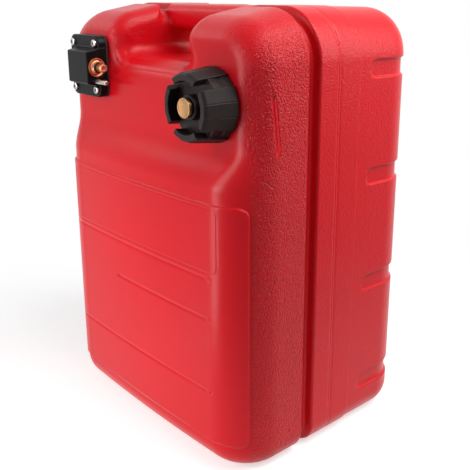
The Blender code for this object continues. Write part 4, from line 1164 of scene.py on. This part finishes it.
@dataclass
class Connector:
    """The flanged housing with its block, screws, nipple and pin."""

    x: float = -0.108
    z: float = 0.401
    back_y: float = -0.1126
    flange_width: float = 0.062
    flange_height: float = 0.068
    flange_thickness: float = 0.009
    flange_corner_r: float = 0.009
    block_width: float = 0.043
    block_height: float = 0.042
    block_length: float = 0.0155
    block_taper: float = 0.0035
    soft: float = 0.0012
    block_soft: float = 0.0016
    spigot_r: float = 0.0050
    plug_r: float = 0.0144
    plug_length: float = 0.008
    spigot_length: float = 0.030
    socket_r: float = 0.0108
    socket_depth: float = 0.0150
    nipple_forward: float = 0.0140
    upper_y: float = -0.110
    screw_spacing: tuple[float, float] = (0.047, 0.051)
    screw_crown: float = 0.72
    drive_reach: float = 1.01
    lobes: int = 6
    lobe_mean: float = 0.86
    lobe_rise: float = 0.14
    screw_head_r: float = 0.0043
    screw_head: float = 0.0026
    screw_shank_r: float = 0.0020
    screw_tail: float = 0.0160
    drive_r: float = 0.0022
    drive_depth: float = 0.0014
    pin_r: float = 0.0025
    pin_length: float = 0.0330
    pin_seat: float = 0.0100
    pin_below: float = 0.0150
    pin_forward: float = 0.0028
    nipple_set_back: float = 0.0014
    nipple_cone_r: float = 0.0066
    nipple_cone: float = 0.0030
    nipple_stem_r: float = 0.0046
    nipple_waist_r: float = 0.0038
    nipple_waist: float = 0.0040
    nipple_reach: float = 0.0140
    nipple_tip_r: float = 0.0040
    nipple_bore_r: float = 0.0032
    nipple_mouth_r: float = 0.0019
    nipple_mouth: float = 0.0020
    spring_wire_r: float = 0.00035
    spring_turns: int = 6
    spring_steps: int = 144
    spring_sides: int = 10
    valve_travel: float = 0.0030
    grid_step: float = 0.0008

    @property
    def side_x(self) -> float:
        """Return the flange's side, which the block's socket opens in."""
        return self.x + self.flange_width / 2

    @property
    def nipple_y(self) -> float:
        """Return the nipple's axis along Y."""
        return self.upper_y - self.nipple_forward

    def shape(self, x: Array, y: Array, z: Array) -> Array:
        """Return the distance to the housing."""
        front = self.back_y - self.flange_thickness
        u, w = x - self.x, z - self.z
        plate = rounded_box(u, w, self.flange_width / 2, self.flange_height / 2, self.flange_corner_r)
        plate = meet(meet(plate, front - y, self.soft), y - self.back_y, self.soft / 4)
        middle = self.flange_width / 2 - self.block_width / 2
        out = np.clip((front - y) / self.block_length, 0.0, 1.0)
        half = self.block_height / 2 - self.block_taper * out
        block = meet(np.abs(u - middle) - self.block_width / 2, np.abs(w) - half, self.block_soft)
        block = meet(meet(block, front - self.block_length - y, self.block_soft), y - self.back_y, self.soft / 4)
        body = join(plate, block, self.soft)
        round_r = np.hypot(u, w)
        plug_end = self.back_y + self.plug_length
        behind = self.back_y - self.flange_thickness / 2 - y
        plug = np.maximum(np.maximum(round_r - self.plug_r, y - plug_end), behind)
        spigot = np.maximum(np.maximum(round_r - self.spigot_r, y - plug_end - self.spigot_length), behind)
        body = np.minimum(body, np.minimum(plug, spigot))
        return self.bored(body, x, y, z)

    def bored(self, body: Array, x: Array, y: Array, z: Array) -> Array:
        """Return the housing's distance with its socket, pin hole, screw holes and counterbores cut."""
        away = np.hypot(y - self.nipple_y, z - self.z)
        socket = np.maximum(away - self.socket_r, self.side_x - self.socket_depth - x)
        body = cut(body, socket, self.soft / 2)
        pin_away = np.hypot(y - self.nipple_y + self.pin_forward, z - self.z + self.pin_below)
        pin = np.maximum(pin_away - self.pin_r - self.soft / 4, self.side_x - self.pin_seat - x)
        body = cut(body, pin, self.soft / 4)
        for screw_x, screw_z in self.screws():
            near = np.hypot(x - screw_x, z - screw_z)
            body = cut(body, near - self.screw_shank_r - self.soft / 4, self.soft / 4)
        return body

    def screws(self) -> list[tuple[float, float]]:
        """Return the four screws' centres."""
        wide, tall = self.screw_spacing
        return [(self.x + way_x * wide / 2, self.z + way_z * tall / 2) for way_z in (1, -1) for way_x in (-1, 1)]

    def housing(self) -> bpy.types.Object:
        """Mesh the housing."""
        step = self.grid_step
        spare = 3 * step
        half_w, half_h = self.flange_width / 2 + spare, self.flange_height / 2 + spare
        front = self.back_y - self.flange_thickness - self.block_length
        back = self.back_y + self.plug_length + self.spigot_length
        grid = (planes(self.x - half_w, self.x + half_w, step, step),
                planes(front - spare, back + spare, 4 * step, step, [(front, self.back_y + spare)]),
                planes(self.z - half_h, self.z + half_h, step, step))
        piece = net_object("connector_body", net(self.shape, grid, bend_reach=FITTING_BEND))
        dress(piece, BLACK_HOUSING)
        stand_in(piece, TANK_BODY, "black_plastic", "connector_housing")
        return piece

    def screw(self, number: int, x: float, z: float) -> bpy.types.Object:
        """Lathe one pan-head screw with a lobed drive recess.

        Args:
            number: the screw's number.
            x: its centre along X.
            z: its centre along Z.

        Returns:
            The screw.
        """
        seat = self.flange_thickness + self.soft / 4
        top = seat + self.screw_head
        soft = self.screw_head / 2
        corners = [Corner(0.0, -self.screw_tail + self.flange_thickness),
                   Corner(self.screw_shank_r, -self.screw_tail + self.flange_thickness, soft / 2),
                   Corner(self.screw_shank_r, seat), Corner(self.screw_head_r, seat),
                   Corner(self.screw_head_r, top - soft / 2, soft),
                   Corner(self.screw_head_r * self.screw_crown, top, soft),
                   Corner(self.drive_r, top), Corner(self.drive_r, top - self.drive_depth),
                   Corner(0.0, top - self.drive_depth)]

        def drive(radius: float, angle: float, along: float) -> float:
            """Give the recess six lobes."""
            if radius > self.drive_r or along < top - self.drive_reach * self.drive_depth:
                return radius
            return radius * (self.lobe_mean + self.lobe_rise * cos(self.lobes * angle))

        piece = lathe(f"housing_screw_{number}", corners, facing((x, self.back_y, z), (0, -1, 0)), 48, drive)
        dress(piece, BRIGHT_STEEL)
        stand_in(piece, TANK_BODY, "stainless_steel", f"flange_screw_{number}")
        return piece

    def nipple(self) -> bpy.types.Object:
        """Lathe the nipple: a dished base, a cone, a waist and a hollow stem."""
        seat = self.side_x - self.socket_depth + self.soft / 4
        base = self.side_x - self.nipple_set_back
        cone = base + self.nipple_cone
        waist = cone + self.nipple_waist
        tip = self.side_x + self.nipple_reach
        lip = tip - self.nipple_mouth
        outer = self.socket_r - self.soft / 4
        soft = self.soft / 3
        corners = [Corner(self.nipple_bore_r, seat), Corner(outer, seat, soft), Corner(outer, base + soft, soft),
                   Corner(outer - self.soft, base + soft, soft),
                   Corner(self.nipple_cone_r + self.soft, base - soft, soft),
                   Corner(self.nipple_cone_r, base, soft), Corner(self.nipple_stem_r, cone, soft),
                   Corner(self.nipple_waist_r, cone, soft), Corner(self.nipple_waist_r, waist, soft),
                   Corner(self.nipple_stem_r, waist, soft), Corner(self.nipple_stem_r, lip, soft),
                   Corner(self.nipple_tip_r, tip, soft), Corner(self.nipple_mouth_r, tip, soft),
                   Corner(self.nipple_mouth_r, lip), Corner(self.nipple_bore_r, lip)]
        piece = lathe("hose_nipple", corners, facing((0, self.nipple_y, self.z), (1, 0, 0)), 72)
        dress(piece, NIPPLE_BRASS)
        stand_in(piece, TANK_BODY, "brass", "fuel_nipple")
        return piece

    def pin(self) -> bpy.types.Object:
        """Lathe the locating pin with a domed tip."""
        start = self.side_x - self.pin_seat
        end = start + self.pin_length
        corners = [Corner(0.0, start), Corner(self.pin_r, start), Corner(self.pin_r, end, self.soft),
                   Corner(0.0, end)]
        place = facing((0, self.nipple_y - self.pin_forward, self.z - self.pin_below), (1, 0, 0))
        piece = lathe("guide_pin", corners, place, 48)
        dress(piece, BRIGHT_STEEL)
        stand_in(piece, TANK_BODY, "stainless_steel", "locating_pin")
        return piece

    def spring(self) -> bpy.types.Object:
        """Sweep the check valve's spring as a coil."""
        low, high = (Vector(corner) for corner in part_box("valve_spring"))
        middle, wire = (low + high) / 2, self.spring_wire_r
        coil_r, length = (high.z - low.z) / 2 - wire, high.x - low.x - 2 * wire
        points, faces = [], []
        for step in range(self.spring_steps + 1):
            share = step / self.spring_steps
            angle = 2 * pi * self.spring_turns * share
            out = Vector((0.0, cos(angle), sin(angle)))
            round_way = 2 * pi * self.spring_turns * coil_r * Vector((0.0, -out.z, out.y))
            along = Vector((-length, 0.0, 0.0)) + round_way
            across = along.normalized().cross(out)
            centre = Vector((high.x - wire - length * share, middle.y, middle.z)) + coil_r * out
            for side in range(self.spring_sides):
                turn = 2 * pi * side / self.spring_sides
                points.append(centre + wire * (cos(turn) * out + sin(turn) * across))
        count = self.spring_sides
        for first in range(0, self.spring_steps * count, count):
            for side in range(count):
                after = (side + 1) % count
                faces.append((first + side, first + side + count, first + after + count, first + after))
        faces += [tuple(range(count)), tuple(reversed(range(self.spring_steps * count, len(points))))]
        mesh = bpy.data.meshes.new("valve_coil")
        mesh.from_pydata(points, [], faces)
        mesh.shade_smooth()
        piece = bpy.data.objects.new("valve_coil", mesh)
        bpy.context.scene.collection.objects.link(piece)
        dress(piece, BRIGHT_STEEL)
        stand_in(piece, TANK_BODY, "stainless_steel", "valve_spring")
        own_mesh(piece)
        return piece

    def build(self) -> list[bpy.types.Object]:
        """Build the housing, its screws, the nipple, the pin and the valve's spring."""
        made = [self.housing()]
        for number, (x, z) in enumerate(self.screws(), 1):
            made.append(self.screw(number, x, z))
        return made + [self.nipple(), self.pin(), self.spring()]


def finish_nodes() -> None:
    """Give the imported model's own pieces that still show their finishes."""
    for name, finish in NODE_FINISHES.items():
        dress(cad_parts[name], finish)


# Studio

@dataclass(frozen=True)
class SoftBox:
    """A rectangular studio light that looks at a point.

    Attributes:
        name: its name.
        azimuth: degrees round the object, 0 in front of -Y and 90 at +X.
        elevation: degrees above the floor.
        distance: metres from the point it looks at.
        width: its width.
        height: its height.
        power: watts.
        color: its colour.
    """

    name: str
    azimuth: float
    elevation: float
    distance: float
    width: float
    height: float
    power: float
    color: Color = (1.0, 1.0, 1.0)

    def build(self, aim: Vector) -> None:
        """Make the light, aimed at a point."""
        side, up = radians(self.azimuth), radians(self.elevation)
        away = Vector((sin(side) * cos(up), -cos(side) * cos(up), sin(up)))
        data = bpy.data.lights.new(self.name, "AREA")
        data.shape = "RECTANGLE"
        data.size = self.width
        data.size_y = self.height
        data.energy = self.power
        data.color = self.color
        lamp = bpy.data.objects.new(self.name, data)
        lamp.location = aim + away * self.distance
        lamp.visible_camera = False
        lamp.rotation_mode = "QUATERNION"
        lamp.rotation_quaternion = (-away).to_track_quat("-Z", "Y")
        bpy.context.scene.collection.objects.link(lamp)


def seen_directly(tree: bpy.types.NodeTree) -> bpy.types.NodeSocket:
    """Return 1 for rays from the camera and for reflections and refractions, else 0.

    Args:
        tree: the node tree.

    Returns:
        The value's socket.
    """
    path = tree.nodes.new("ShaderNodeLightPath")
    bounced = math_node(tree, "MAXIMUM", path.outputs["Is Glossy Ray"], path.outputs["Is Transmission Ray"])
    return math_node(tree, "MAXIMUM", path.outputs["Is Camera Ray"], bounced)


@dataclass
class Studio:
    """The pale floor, the soft lights and the camera at the photo's angle."""

    image_size: float = 470.0
    focal_pixels: float = 716.6
    camera_place: tuple[float, float, float] = (0.6399, -0.5300, 0.4784)
    nearest: float = 0.05
    floor_drop: float = 0.0002
    floor_roughness: float = 0.6
    aim_height: float = 0.22
    yaw: float = 47.01
    pitch: float = 15.87
    roll: float = 0.51
    middle: tuple[float, float] = (270.0, 200.0)
    sensor: float = 36.0
    floor_size: float = 12.0
    floor_color: Color = (0.70, 0.70, 0.70)
    ambient: float = 0.11
    shadow_lift: float = 0.58
    white_near: float = 0.24
    white_far: float = 0.74
    lights: tuple[SoftBox, ...] = (
        SoftBox("front_box", -13.0, 16.0, 1.7, 0.60, 1.5, 15.0),
        SoftBox("low_box", -4.0, -6.0, 0.46, 0.10, 0.36, 0.65),
        SoftBox("left_top_box", -60.0, 40.0, 1.5, 0.5, 0.4, 1.8),
        SoftBox("right_top_box", 104.0, 60.0, 1.5, 1.0, 0.8, 12.0),
        SoftBox("side_box", 124.0, 38.0, 0.85, 0.4, 0.8, 5.0),
    )

    def camera(self) -> None:
        """Make the camera where the photo's perspective puts it."""
        data = bpy.data.cameras.new("camera")
        data.sensor_width = self.sensor
        data.lens = self.focal_pixels / self.image_size * self.sensor
        data.clip_start = self.nearest
        made = bpy.data.objects.new("camera", data)
        side, down = radians(self.yaw), radians(self.pitch)
        look = Vector((-sin(side) * cos(down), cos(side) * cos(down), -sin(down)))
        made.location = self.camera_place
        made.rotation_mode = "QUATERNION"
        turn = look.to_track_quat("-Z", "Y").to_matrix() @ Matrix.Rotation(radians(self.roll), 3, "Z")
        made.rotation_quaternion = turn.to_quaternion()
        data.shift_x = 0.5 - self.middle[0] / self.image_size
        data.shift_y = self.middle[1] / self.image_size - 0.5
        bpy.context.scene.collection.objects.link(made)
        bpy.context.scene.camera = made

    def floor(self) -> None:
        """Lay the pale floor, which shows white to the camera away from the shadow."""
        half = self.floor_size / 2
        mesh = bpy.data.meshes.new("floor")
        mesh.from_pydata([(-half, -half, 0), (half, -half, 0), (half, half, 0), (-half, half, 0)], [],
                         [(0, 1, 2, 3)])
        made = bpy.data.objects.new("floor", mesh)
        bpy.context.scene.collection.objects.link(made)
        made.location.z = -self.floor_drop
        mesh.materials.append(self.floor_material())

    def floor_material(self) -> bpy.types.Material:
        """Make the floor's matt white."""
        made = bpy.data.materials.new("studio_floor")
        made.use_nodes = True
        tree = made.node_tree
        shader = tree.nodes["Principled BSDF"]
        shader.inputs["Roughness"].default_value = self.floor_roughness
        shader.inputs["Specular IOR Level"].default_value = 0.0
        place = tree.nodes.new("ShaderNodeTexCoord").outputs["Object"]
        reach = tree.nodes.new("ShaderNodeVectorMath")
        reach.operation = "LENGTH"
        tree.links.new(place, reach.inputs[0])
        far = tree.nodes.new("ShaderNodeMapRange")
        far.interpolation_type = "SMOOTHSTEP"
        far.inputs["From Min"].default_value = self.white_near
        far.inputs["From Max"].default_value = self.white_far
        tree.links.new(reach.outputs["Value"], far.inputs["Value"])
        tint = tree.nodes.new("ShaderNodeMix")
        tint.data_type = "RGBA"
        tint.inputs["A"].default_value = (*self.floor_color, 1.0)
        tint.inputs["B"].default_value = (0.0, 0.0, 0.0, 1.0)
        tree.links.new(far.outputs["Result"], tint.inputs["Factor"])
        tree.links.new(tint.outputs["Result"], shader.inputs["Base Color"])
        glow = math_node(tree, "MULTIPLY_ADD", far.outputs["Result"], 1.0 - self.shadow_lift, self.shadow_lift)
        shader.inputs["Emission Color"].default_value = (1.0, 1.0, 1.0, 1.0)
        tree.links.new(math_node(tree, "MULTIPLY", glow, seen_directly(tree)), shader.inputs["Emission Strength"])
        return made

    def world(self) -> None:
        """Light the scene softly all round and show white behind it."""
        made = bpy.data.worlds.new("studio")
        bpy.context.scene.world = made
        made.use_nodes = True
        tree = made.node_tree
        ground = tree.nodes["Background"]
        strength = math_node(tree, "MULTIPLY_ADD", seen_directly(tree), 1.0 - self.ambient, self.ambient)
        tree.links.new(strength, ground.inputs["Strength"])
        ground.inputs["Color"].default_value = (1.0, 1.0, 1.0, 1.0)

    def build(self) -> None:
        """Build the camera, the floor, the lights and the world."""
        self.camera()
        self.floor()
        self.world()
        aim = Vector((0.0, 0.0, self.aim_height))
        for light in self.lights:
            light.build(aim)
        view = bpy.context.scene.view_settings
        view.view_transform = "Standard"


def main() -> None:
    """Build the tank's looks in order."""
    logging.basicConfig(level=logging.INFO, format="%(message)s")
    Studio().build()
    TankShell().build()
    Filler().build()
    Connector().build()
    finish_nodes()


if __name__ == "__main__":
    main()
